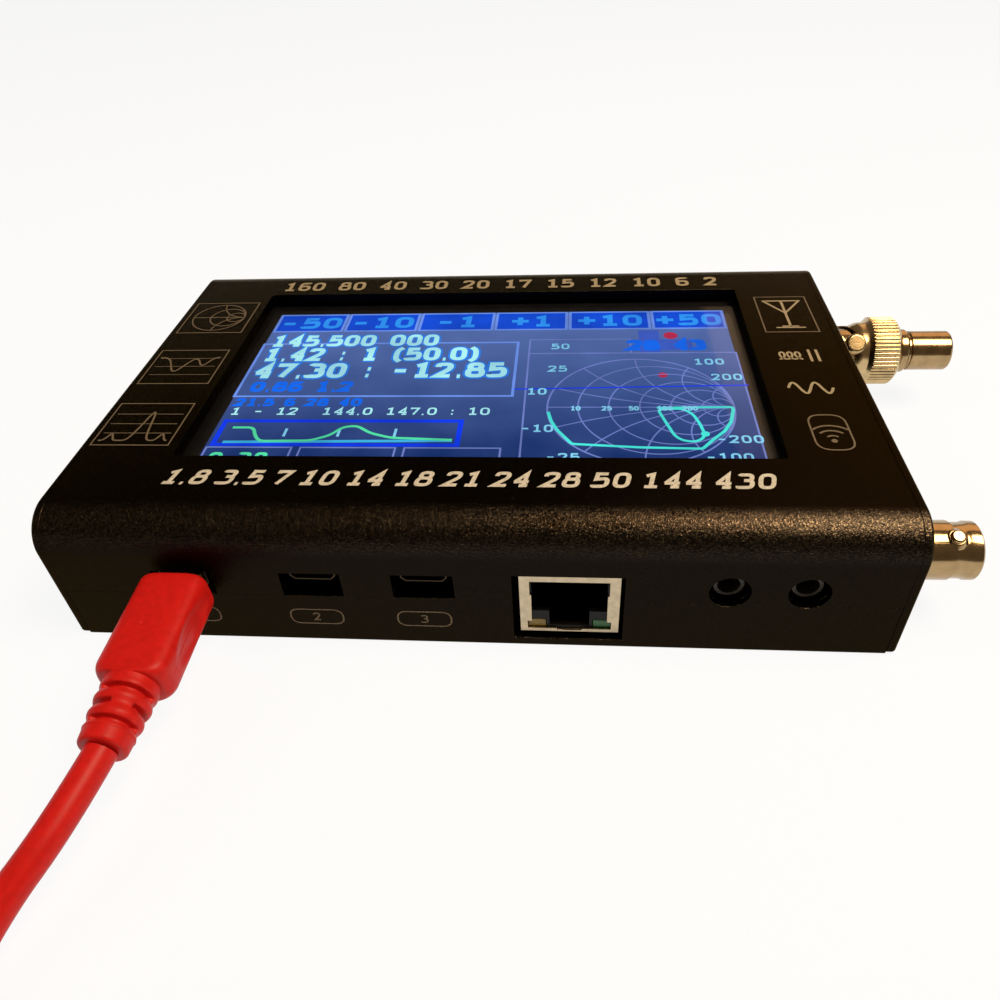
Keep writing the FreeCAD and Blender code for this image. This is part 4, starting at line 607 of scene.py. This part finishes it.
def ribbon(points, width, closed=False):
    """A line of a width: each point moved to both sides along the mitre of its two runs."""
    points = np.asarray(points, float)
    steps = np.linalg.norm(np.diff(points, axis=0), axis=1)
    points = points[np.concatenate([[True], steps > 1e-6])]
    if closed:
        before, after = np.roll(points, 1, axis=0), np.roll(points, -1, axis=0)
    else:
        before = np.vstack([2 * points[:1] - points[1:2], points[:-1]])
        after = np.vstack([points[1:], 2 * points[-1:] - points[-2:-1]])
    arriving = (points - before) / np.linalg.norm(points - before, axis=1, keepdims=True)
    leaving = (after - points) / np.linalg.norm(after - points, axis=1, keepdims=True)
    mean = arriving + leaving
    mean = mean / np.linalg.norm(mean, axis=1, keepdims=True)
    normal = np.stack([-mean[:, 1], mean[:, 0]], axis=1)
    stretch = 1.0 / np.clip(np.sum(mean * leaving, axis=1, keepdims=True), 0.35, 1.0)
    side = normal * stretch * width / 2
    count = len(points)
    spots = np.vstack([points + side, points - side])
    first = np.arange(count if closed else count - 1)
    second = (first + 1) % count
    faces = np.vstack([np.stack([first, first + count, second + count], axis=1),
                       np.stack([first, second + count, second], axis=1)])
    return spots, faces


def arc(centre, radius, start=0.0, end=360.0, steps=48):
    """Points on a circle between two angles in degrees."""
    way = np.radians(np.linspace(start, end, steps))
    return np.stack([centre[0] + radius * np.cos(way), centre[1] + radius * np.sin(way)], axis=1)


def circle(centre, radius, width, steps=64):
    """A drawn circle: an arc of 360 degrees with a width."""
    return ribbon(arc(centre, radius, steps=steps)[:-1], width, closed=True)


def disc(centre, radius, steps=24):
    """A filled circle: triangles from its rim to its centre."""
    rim = arc(centre, radius, steps=steps + 1)[:-1]
    spots = np.vstack([rim, [centre]])
    first = np.arange(steps)
    return spots, np.stack([first, (first + 1) % steps, np.full(steps, steps)], axis=1)


def outline(low, high, width, corner=0.0):
    """The edge of a rectangle, with round corners if a radius is given."""
    spots = [low, (high[0], low[1]), high, (low[0], high[1])]
    if corner:
        spots = softened(spots, corner, steps=6, closed=True)
    return ribbon(spots, width, closed=True)


def joined(marks):
    """Several flat marks as one. Each gets a lift of its own as a third column, unless it has
    one, so that strokes that cross never share a plane."""
    counts = np.cumsum([0] + [len(spots) for spots, faces in marks])
    lifted = [spots if spots.shape[1] == 3 else np.insert(spots, 2, at % 4 * LIFT, axis=1)
              for at, (spots, faces) in enumerate(marks)]
    return (np.vstack(lifted),
            np.vstack([faces + start for (_, faces), start in zip(marks, counts)]))


def figures(text, height, place, weight=0.16, wide=1.0, slant=0.0, align=0.5, span=None):
    """Figures of a height on one line about a point. weight is the stroke's share of the
    height, wide widens them, and slant leans them by a share of the height. align is 0 for a
    line that starts at the point and 0.5 for one about it. With a span, the blanks between
    groups stretch until the line is that long."""
    gap = (FIGURE_STEP - FIGURE_WIDTH) * height * wide
    steps = np.array([NARROW.get(figure, FIGURE_STEP) for figure in text]) * height * wide
    if span:
        blank = np.array([figure == " " for figure in text])
        steps[blank] += (span + gap - steps.sum()) / blank.sum()
    starts = np.cumsum(steps) - steps - (steps.sum() - gap) * align
    marks = []
    for figure, start in zip(text, starts):
        for closed, corners in STROKES.get(figure, []):
            corners = np.array(corners, float)
            path = softened(corners[:, :2] * (wide, 1.0), corners[:, 2], 5, closed)
            spots, faces = ribbon(path, weight, closed)
            rise = spots[:, 1] - 0.5
            marks.append((np.stack([place[0] + start + (spots[:, 0] + slant * rise) * height,
                                    place[1] + rise * height], axis=1), faces))
    return joined(marks)


def laid(name, marks, origin, right, up, material, body="case"):
    """Joins flat marks and lays them on the plane through origin along right and up."""
    spots, faces = joined(marks)
    normal = np.cross(right, up)
    points = np.array(origin, float) + spots @ np.array([right, up, normal], float)
    first = points[faces]
    facing = np.cross(first[:, 1] - first[:, 0], first[:, 2] - first[:, 0]) @ normal
    faces = np.where((facing < 0)[:, None], faces[:, ::-1], faces)
    return piece_of(name, points, faces, material, body, solid=False)


ROOF = part_box("top_shell")[1][2] + PROUD
FACE = part_box("top_shell")[0][1] - PROUD

engraved = plain("engraved", "c6bfae", 0.6, grain=3000.0, shine=0.2)
engraved_far = plain("engraved_far", "9c8d70", 0.6, grain=3000.0, shine=0.2)
engraved_dim = plain("engraved_dim", "6a5d4a", 0.6, grain=3000.0, shine=0.2)


def engrave(name, marks, material=engraved):
    """Lays marks on the roof."""
    return laid(name, marks, (0, 0, ROOF), (1, 0, 0), (0, 1, 0), material)


FRONT_FIGURES = "1.8 3.5 7 10 14 18 21 24 28 50 144 430"
REAR_FIGURES = "160 80 40 30 20 17 15 12 10 6 2"
engrave("front_figures", [figures(FRONT_FIGURES, 3.6, (-49.2, -33.0), 0.2, 1.12, slant=0.22,
                                  align=0.0, span=96.6)])
engrave("rear_figures", [figures(REAR_FIGURES, 3.9, (-48.6, 35.4), 0.2, 1.05, align=0.0,
                                 span=95.8)], engraved_far)

# On the left a resonance curve, a curve with two dips and a round impedance chart, each in a box.
# A curve is a foot height and bells as height, middle and spread, then its width, the heights of
# the lines behind it, their inset and their width.
SIGN_LEFT, SIGN_RIGHT = -66.3, -52.3
SIGN_MIDDLE = (SIGN_LEFT + SIGN_RIGHT) / 2
SIGN_HEIGHTS = ((-24.5, -11.8), (-5.0, 7.4), (14.6, 27.8))
CURVES = ((-23.2, ((8.6, 0.1, 0.17), (1.9, -0.72, 0.1), (1.9, 0.78, 0.1)), 0.36,
           (-21.0, -18.2, -15.2), 0.8, 0.18),
          (4.6, ((-5.2, -0.25, 0.3), (-3.0, 0.55, 0.2)), 0.34, (-1.8, 1.2, 4.2), 0.9, 0.16))
CURVE_HALF = 6.2
ROUND_HEIGHT, ROUND_RADIUS = 21.2, 5.6
signs = [outline((SIGN_LEFT, low), (SIGN_RIGHT, high), 0.26) for low, high in SIGN_HEIGHTS]
run = np.linspace(-1.0, 1.0, 60)
for foot, bells, width, lines, inset, line_width in CURVES:
    curve = foot + sum(height * np.exp(-((run - middle) / spread) ** 2)
                       for height, middle, spread in bells)
    signs.append(ribbon(np.stack([SIGN_MIDDLE + run * CURVE_HALF, curve], axis=1), width))
    for height in lines:
        signs.append(ribbon([(SIGN_LEFT + inset, height), (SIGN_RIGHT - inset, height)],
                            line_width))
for shift, radius in ((0.0, ROUND_RADIUS), (1.9, 3.7), (3.7, 1.9)):
    signs.append(circle((SIGN_MIDDLE + shift, ROUND_HEIGHT), radius, 0.26))
signs.append(ribbon([(SIGN_MIDDLE - ROUND_RADIUS, ROUND_HEIGHT),
                     (SIGN_MIDDLE + ROUND_RADIUS, ROUND_HEIGHT)], 0.26))
for side in (-1.0, 1.0):
    signs.append(ribbon(arc((SIGN_MIDDLE + ROUND_RADIUS, ROUND_HEIGHT + side * ROUND_RADIUS),
                            ROUND_RADIUS, 180.0, 180.0 + side * 90.0), 0.26))
engrave("chart_signs", signs, engraved_dim)

# On the right an antenna over its ground lines, a coil with a capacitor, and a wave, then,
# dimmer, the antenna's box and a round-cornered box with a radio sign.
COIL_SIGN, COIL_SIGN_LENGTH, COIL_SIGN_RADII = (54.6, 4.0), 4.2, (0.75, 1.25)
WAVE_SIGN, WAVE_SIGN_PERIOD, WAVE_SIGN_HEIGHT = (54.3, -7.0), 3.8, 1.7
coil_turn = np.radians(np.linspace(0.0, 3.0 * 360.0, 90))
coil_sign = np.stack([
    COIL_SIGN[0] + coil_turn / coil_turn[-1] * COIL_SIGN_LENGTH
    + COIL_SIGN_RADII[0] * np.sin(coil_turn),
    COIL_SIGN[1] - COIL_SIGN_RADII[1] * np.cos(coil_turn)], axis=1)
periods = np.linspace(0.0, 2.0, 60)
wave_sign = np.stack([WAVE_SIGN[0] + periods * WAVE_SIGN_PERIOD,
                      WAVE_SIGN[1] + WAVE_SIGN_HEIGHT * np.sin(periods * 2 * np.pi)], axis=1)
engrave("right_signs", [ribbon(line, width) for line, width in (
    ([(59.0, 14.6), (59.0, 25.8)], 0.5), ([(59.0, 20.6), (55.4, 25.8)], 0.45),
    ([(59.0, 20.6), (62.6, 25.8)], 0.45), ([(55.2, 25.8), (62.8, 25.8)], 0.45),
    ([(57.4, 15.18), (60.6, 15.18)], 0.4), ([(56.2, 14.64), (61.8, 14.64)], 0.4),
    (coil_sign, 0.42), ([(60.3, 1.9), (60.3, 6.1)], 0.5), ([(61.7, 1.9), (61.7, 6.1)], 0.5),
    (wave_sign, 0.5))], engraved_far)
RADIO_SIGN = 58.5
dim_signs = [outline((53.9, 12.9), (64.0, 27.6), 0.26),
             outline((55.5, -25.0), (61.5, -15.3), 0.3, corner=2.4),
             disc((RADIO_SIGN, -22.6), 0.5)]
for radius in (1.2, 2.6, 4.0):
    dim_signs.append(ribbon(arc((RADIO_SIGN, -22.4), radius, 45.0, 135.0, 20), 0.36))
engrave("dim_signs", dim_signs, engraved_dim)

PORT_LABELS = ((-45.8, "1"), (-24.9, "2"), (-7.0, "3"))
LABEL_LOW, LABEL_HIGH, LABEL_HALF = 4.2, 7.6, 4.4
label_marks = []
for middle, number in PORT_LABELS:
    label_marks.append(outline((middle - LABEL_HALF, LABEL_LOW), (middle + LABEL_HALF, LABEL_HIGH),
                               0.26, corner=1.65))
    label_marks.append(figures(number, 1.9, (middle, (LABEL_LOW + LABEL_HIGH) / 2), 0.15))
laid("port_labels", label_marks, (0, FACE, 0), (1, 0, 0), (0, 0, 1), engraved_dim)

# ---------------------------------------------------------------- display
# A lit colour panel on foam behind a flat cover glass, with a folded flat cable to the board. The
# picture is made of flat shapes just above the panel: buttons, a framed readout, a sweep curve
# and a round impedance chart.
PANEL = part_box("display_module")[1][2]
LAYER = 0.01
LIT_LOW, LIT_HIGH = (-48.0, -26.7), (48.0, 27.7)


def glow(name, colour, low=None):
    """A lit colour of the picture, uneven as it is through the panel's backlight. With a second
    colour it runs from that one at the panel's front edge to the first at its rear edge, a painted
    reflection haze."""
    finish = Finish(name)
    clouds = finish.add("TexNoise", {}, {"Vector": finish.place(), "Scale": 90.0, "Detail": 3.0})
    stops = shades(colour, 0.8, 1.15)
    if low:
        # Painted reflection haze: lighter towards the panel's rear edge.
        painted_haze_rearward = finish.add("SeparateXYZ", {}, {"Vector": finish.place()}, "Y")
        clouds = painted_haze_rearward * 13.0 + clouds * 0.3 + 0.3
        stops = ((0.1, tone(low)), (1.0, tone(colour)))
    lit = finish.add("ValToRGB", {"stops": stops}, {"Fac": clouds})
    return finish.close({"Base Color": tone("04050a"), "Roughness": clouds * 0.2 + 0.4,
                         "Specular IOR Level": 0.0, "Emission Color": lit,
                         "Emission Strength": 1.0})


# The field is dark navy at the front and lighter at the rear: the lighter rear is a painted
# reflection haze.
PICTURE_COLOURS = {
    "field": ("6480c4", "0e2c68"), "blue": ("064ad6",), "word": ("2a94ff",),
    "royal": ("0838e8",), "azure": ("0a68f2",), "haze": ("3c5cc4",), "pale": ("acf0ff",),
    "cyan": ("84d2f6",), "halo": ("2a80ea",), "line": ("6c92ec",), "web": ("7080c8",),
    "trace": ("48e6da",), "base": ("3cb0e0",), "green": ("52e0a4",), "red": ("b8284e",),
}
LIT = {name: glow("screen_" + name, *colours) for name, colours in PICTURE_COLOURS.items()}


def show(name, marks, layer, colour):
    """Lays marks on the panel, at the height of a layer above it."""
    return laid(name, marks, (0, 0, PANEL + layer * LAYER), (1, 0, 0), (0, 1, 0), LIT[colour])


def plate(low, high):
    """A filled rectangle between its lowest and highest corner."""
    spots = np.array([low, (high[0], low[1]), high, (low[0], high[1])], float)
    return spots, np.array([(0, 1, 2), (0, 2, 3)])


show("screen_field", [plate(LIT_LOW, LIT_HIGH)], 1, "field")
BUTTON_EDGES = (-48.0, -32.4, -16.4, -0.1, 15.5, 32.7, 48.0)
BUTTON_WORDS = ("-50", "-10", "-1", "+1", "+10", "+50")
BUTTON_LOW, BUTTON_HIGH, BUTTON_GAP = 20.2, 27.5, 0.4
buttons, button_lines, button_words = [], [], []
for left, right, word in zip(BUTTON_EDGES, BUTTON_EDGES[1:], BUTTON_WORDS):
    low, high = (left + BUTTON_GAP, BUTTON_LOW), (right - BUTTON_GAP, BUTTON_HIGH)
    buttons.append(plate(low, high))
    button_lines.append(outline(low, high, 0.55))
    button_words.append(figures(word, 4.4, ((left + right) / 2, 23.8), 0.26, 1.35))
show("screen_buttons", buttons, 2, "blue")
show("screen_button_lines", button_lines, 3, "line")
show("screen_button_words", button_words, 4, "word")

# The readout's words glow: a wide blue copy lies under the pale one. Each is its text, height
# on the panel, size and widening.
READOUT = (("145.500 000", 16.1, 4.3, 1.02), ("1.42 : 1 (50.0)", 10.5, 4.7, 1.0),
           ("47.30 : -12.85", 4.3, 5.1, 1.05))
for name, weight, layer, colour in (("screen_halo", 0.42, 3, "halo"),
                                    ("screen_readout", 0.24, 5, "pale")):
    show(name, [figures(word, height, (-46.4, middle), weight, wide, align=0.0)
                for word, middle, height, wide in READOUT], layer, colour)
show("screen_readout_frame", [outline((-48.0, -4.9), (5.4, 14.9), 0.55)], 4, "line")
show("screen_small_blue", [figures("0.86 1.2", 3.2, (-45.5, -1.5), 0.32, 1.2, align=0.0),
                           figures("21.5 6 28 40", 2.3, (-47.0, -6.9), 0.32, 1.25, align=0.0)],
     3, "azure")
show("screen_caption", [figures("1 - 12  144.0 147.0 : 10", 2.3, (-46.8, -9.9), 0.18, 1.2,
                                align=0.0, span=48.4)], 3, "pale")

# The sweep over frequency in its frame, and the buttons at the panel's foot.
SWEEP = [(-44.8, -15.1), (-40.9, -15.1), (-39.8, -17.7), (-38.6, -19.2), (-29.4, -19.0),
         (-26.2, -17.4), (-24.4, -14.9), (-21.9, -14.5), (-19.1, -16.7), (-15.2, -18.1),
         (-4.2, -18.7)]
SWEEP_TICKS = (-34.6, -24.8, -14.6)
FOOT_BUTTONS = ((-47.6, -32.2), (-30.6, -13.8), (-12.2, 4.4))
show("screen_graph_frame", [outline((-46.8, -20.2), (-3.2, -13.0), 0.95)], 3, "royal")
show("screen_base_line", [ribbon([(-45.2, -19.5), (-4.2, -18.9)], 0.75)], 4, "base")
show("screen_sweep", [ribbon(softened(SWEEP, 1.1), 0.62)], 5, "green")
show("screen_ticks", [ribbon([(x, -17.8), (x, -15.4)], 0.5) for x in SWEEP_TICKS], 4, "cyan")
show("screen_foot_buttons", [outline((left, -26.4), (right, -21.0), 0.35)
                             for left, right in FOOT_BUTTONS], 3, "web")
show("screen_foot_words", [figures("0 38", 2.8, (-41.0, -24.0), 0.26, 1.3)], 3, "green")

# Behind the chart: its panel's frame, a cross line, hazy patches, blue figures and red spots.
show("screen_panel", [outline((7.8, -27.4), (48.2, 10.4), 0.35),
                      outline((7.8, 10.4), (28.0, 15.9), 0.35)], 3, "web")
show("screen_cross_line", [ribbon([(5.6, -2.6), (48.8, -1.4)], 0.4)], 4, "royal")
show("screen_haze", [plate((29.8, 10.6), (33.9, 19.4)), plate((33.9, 11.4), (40.2, 15.6))], 2,
     "haze")
show("screen_patch", [figures("28 43", 3.4, (35.0, 13.4), 0.42, 1.2)], 4, "azure")
show("screen_spot", [disc((36.2, 17.2), 1.4), disc((33.5, 2.2), 0.9)], 3, "red")

# An impedance chart: the circle of a resistance r has the chart's radius over 1 + r and touches
# its right edge; the arc of a reactance x has the chart's radius over x, and stands on that edge.
# Each arc's points are rolled by a quarter, so that the stretch inside the chart is unbroken.
CHART = np.array([28.6, -8.6])
CHART_RADIUS = 16.6
CHART_VALUES = (0.2, 0.5, 1.0, 2.0, 5.0)
RIM_STEPS = 500


def inside_chart(points):
    """Keeps the stretch of a line that lies inside the chart's rim."""
    return points[np.linalg.norm(points - CHART, axis=1) <= CHART_RADIUS]


web = [circle(CHART, CHART_RADIUS, 0.34, 120),
       ribbon([CHART - (CHART_RADIUS, 0), CHART + (CHART_RADIUS, 0)], 0.26)]
for resistance in CHART_VALUES:
    radius = CHART_RADIUS / (1 + resistance)
    web.append(circle(CHART + (CHART_RADIUS - radius, 0), radius, 0.26, 96))
for reactance in CHART_VALUES:
    radius = CHART_RADIUS / reactance
    for side in (-1, 1):
        rim = arc(CHART + (CHART_RADIUS, side * radius), radius, steps=RIM_STEPS)
        web.append(ribbon(inside_chart(np.roll(rim, side * RIM_STEPS // 4, axis=0)), 0.26))
show("screen_web", web, 3, "web")
RIM_SWEEP = [(12.2, -10.1), (12.8, -12.9), (13.9, -15.6), (16.5, -19.7), (27.9, -20.6),
             (38.3, -20.9), (40.0, -18.7), (42.6, -15.8), (44.0, -13.1), (44.9, -9.4),
             (44.8, -8.6), (31.6, -8.8)]
LOOP = [(31.7, -9.3), (32.6, -12.5), (34.0, -17.3), (35.2, -18.6), (37.2, -19.0), (38.6, -18.1),
        (39.1, -16.7), (38.6, -13.7), (37.7, -10.7), (36.0, -9.1)]
show("screen_trace", [ribbon(softened(RIM_SWEEP, 0.5), 0.6),
                      ribbon(softened(LOOP, 1.0, closed=True), 0.55, closed=True),
                      disc((39.2, -16.7), 0.75)], 5, "trace")
CHART_FIGURES = (("25", 13.6, 4.6), ("10", 9.9, -3.4), ("-10", 10.4, -15.2), ("-25", 15.0, -23.4),
                 ("100", 42.6, 6.9), ("200", 45.2, 1.4), ("-200", 44.8, -18.2),
                 ("-100", 42.4, -23.2), ("50", 14.0, 13.1))
AXIS_FIGURES = (("10", 17.1), ("25", 22.7), ("50", 27.5), ("100", 33.0), ("200", 37.4))
show("screen_chart_words", [figures(word, 2.1, (x, y), 0.2, 1.2) for word, x, y in CHART_FIGURES]
     + [figures(word, 1.3, (x, -9.0), 0.26, 0.9) for word, x in AXIS_FIGURES], 6, "cyan")

glass = Finish("cover_glass")
mirror = glass.add("BsdfPrincipled", {}, {"Base Color": (0.9, 0.9, 0.9, 1.0), "Metallic": 1.0,
                                          "Roughness": 0.05})
clear = glass.add("BsdfTransparent", {}, {"Color": (0.98, 0.98, 0.98, 1.0)})
slope = glass.add("LayerWeight", {}, {"Blend": 0.5}, "Facing")
cover_glass = glass.ends_in(
    glass.add("MixShader", {}, {"Fac": slope ** 5.0 * 0.5 + 0.006, 1: clear, 2: mirror}))
dressed("touch_glass", cover_glass, edge=0.0)
dressed("display_module", plain("panel_black", "07070a", 0.45), edge=0.1)
black_foam = plain("black_foam", "121212", 0.9)
for node in ("display_pads", "battery_pad"):
    dressed(node, black_foam)
dressed("display_flex", plain("amber_film", "a05a14", 0.35), edge=0.0)
dressed("flex_socket", white_plastic)

# ---------------------------------------------------------------- boards and battery
# Hidden inside the case: glass-fibre boards in the side rails and on posts below, with their
# soldered chips, shield can and plug strips, the card holder, and the flat battery on foam.
fibre = plain("green_fibreglass", "1c5a2c", 0.4)
black_plastic = plain("black_plastic", "100e0b", 0.5, shine=0.2)
chip_black = plain("chip_black", "191919", 0.55)
for node in ("main_board", "rf_board"):
    dressed(node, fibre)
for node in ("board_headers", "card_holder", "memory_card"):
    dressed(node, black_plastic)
for node in ("processor_chip", "memory_chips", "mixer_chip"):
    dressed(node, chip_black)
for node in ("board_posts", "shield_can"):
    dressed(node, tin_plate)
dressed("battery", plain("battery_wrap", "6a7078", 0.4), edge=0.0)

# ---------------------------------------------------------------- front ports
# Folded tin shells round plastic tongues for the small sockets, a shielded network jack with gilt
# contacts above its hole and two lamps below it, and two moulded audio jacks. All are soldered
# to the main board and look out through the front wall.
gilt = plain("gilt", "d9b168", 0.25, 1.0)
# The small sockets' shells sit deep in the front wall, and their tin is made dark: painted shade.
shade_darkened_tin = plain("shade_darkened_tin", "463b2c", 0.45, 1.0, 700.0)
jack_plastic = plain("jack_plastic", "30291d", 0.42, shine=0.4)
for node in ("mini_usb_shell", "micro_usb_shells"):
    dressed(node, shade_darkened_tin, edge=0.05)
dressed("mini_usb_tongue", white_plastic, edge=0.05)
dressed("micro_usb_tongues", black_plastic, edge=0.05)
dressed("ethernet_shield", tin_plate, edge=0.06)
dressed("ethernet_insert", black_plastic, edge=0.06)
dressed("ethernet_contacts", gilt, edge=0.04)
dressed("ethernet_lamp_left", plain("amber_lamp", "7d6a20", 0.35), edge=0.1)
dressed("ethernet_lamp_right", plain("green_lamp", "1e5a2c", 0.35), edge=0.1)
for node in ("audio_jack_left", "audio_jack_right"):
    dressed(node, jack_plastic, edge=0.08)

# ---------------------------------------------------------------- power switch
# A moulded rocker on a round hub in its housing, which snaps into the left plate, on the side
# that the camera doesn't see.
dressed("switch_housing", black_plastic, edge=0.15)
dressed("power_rocker", black_plastic, "rocker", edge=0.25)

# ---------------------------------------------------------------- bayonet jacks
# Two turned brass bodies with a nickel coat, each held in the right plate by a nut and a washer.
# Their white plastic cores are pressed in and hold a gilt contact.


def nickel_finish(name, colour, roughness, turned_depth):
    """Warm nickel with faint streaks, over fine lathe lines across the X axis."""
    nickel = Finish(name)
    streaks = nickel.add("TexNoise", {}, {"Vector": nickel.place(), "Scale": 500.0, "Detail": 3.0})
    lines = nickel.add("TexWave", {"bands_direction": "X"}, {
        "Vector": nickel.place(), "Scale": 1700.0, "Distortion": 2.0, "Detail": 2.0}, "Fac")
    turned = nickel.add("Bump", {}, {"Strength": 0.06, "Distance": turned_depth, "Height": lines})
    stained = nickel.add("ValToRGB", {"stops": shades(colour, 0.88, 1.1)}, {"Fac": streaks})
    return nickel.close({"Base Color": stained, "Metallic": 1.0, "Normal": turned,
                         "Roughness": streaks * 0.1 + roughness})


nickel_plate = nickel_finish("nickel_plate", "a98e66", 0.12, 0.00001)
for node in ("front_jack_body", "rear_jack_body", "jack_washers", "jack_nuts"):
    dressed(node, nickel_plate, edge=0.1)
for node in ("front_jack_insulator", "rear_jack_insulator"):
    dressed(node, white_plastic, edge=0.05)
for node in ("front_jack_contact", "rear_jack_contact"):
    dressed(node, gilt, edge=0.05)

# ---------------------------------------------------------------- adapter
# From the rear bayonet jack to a phono socket. The turned body holds a white core with a gilt
# pin tube, and a knurled satin ring turns on it and locks over the jack's two lugs.
nickel_satin = nickel_finish("nickel_satin", "c4aa7c", 0.19, 0.000002)
dressed("adapter_body", nickel_plate, "adapter", edge=0.1)
dressed("adapter_insulator", white_plastic, "adapter", edge=0.05)
dressed("adapter_pin", gilt, "adapter", edge=0.05)
dressed("coupling_ring", nickel_satin, "coupling_ring", edge=0.12)

# The last call then measures the bounds of everything shown, the backdrop left out.
low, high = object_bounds()
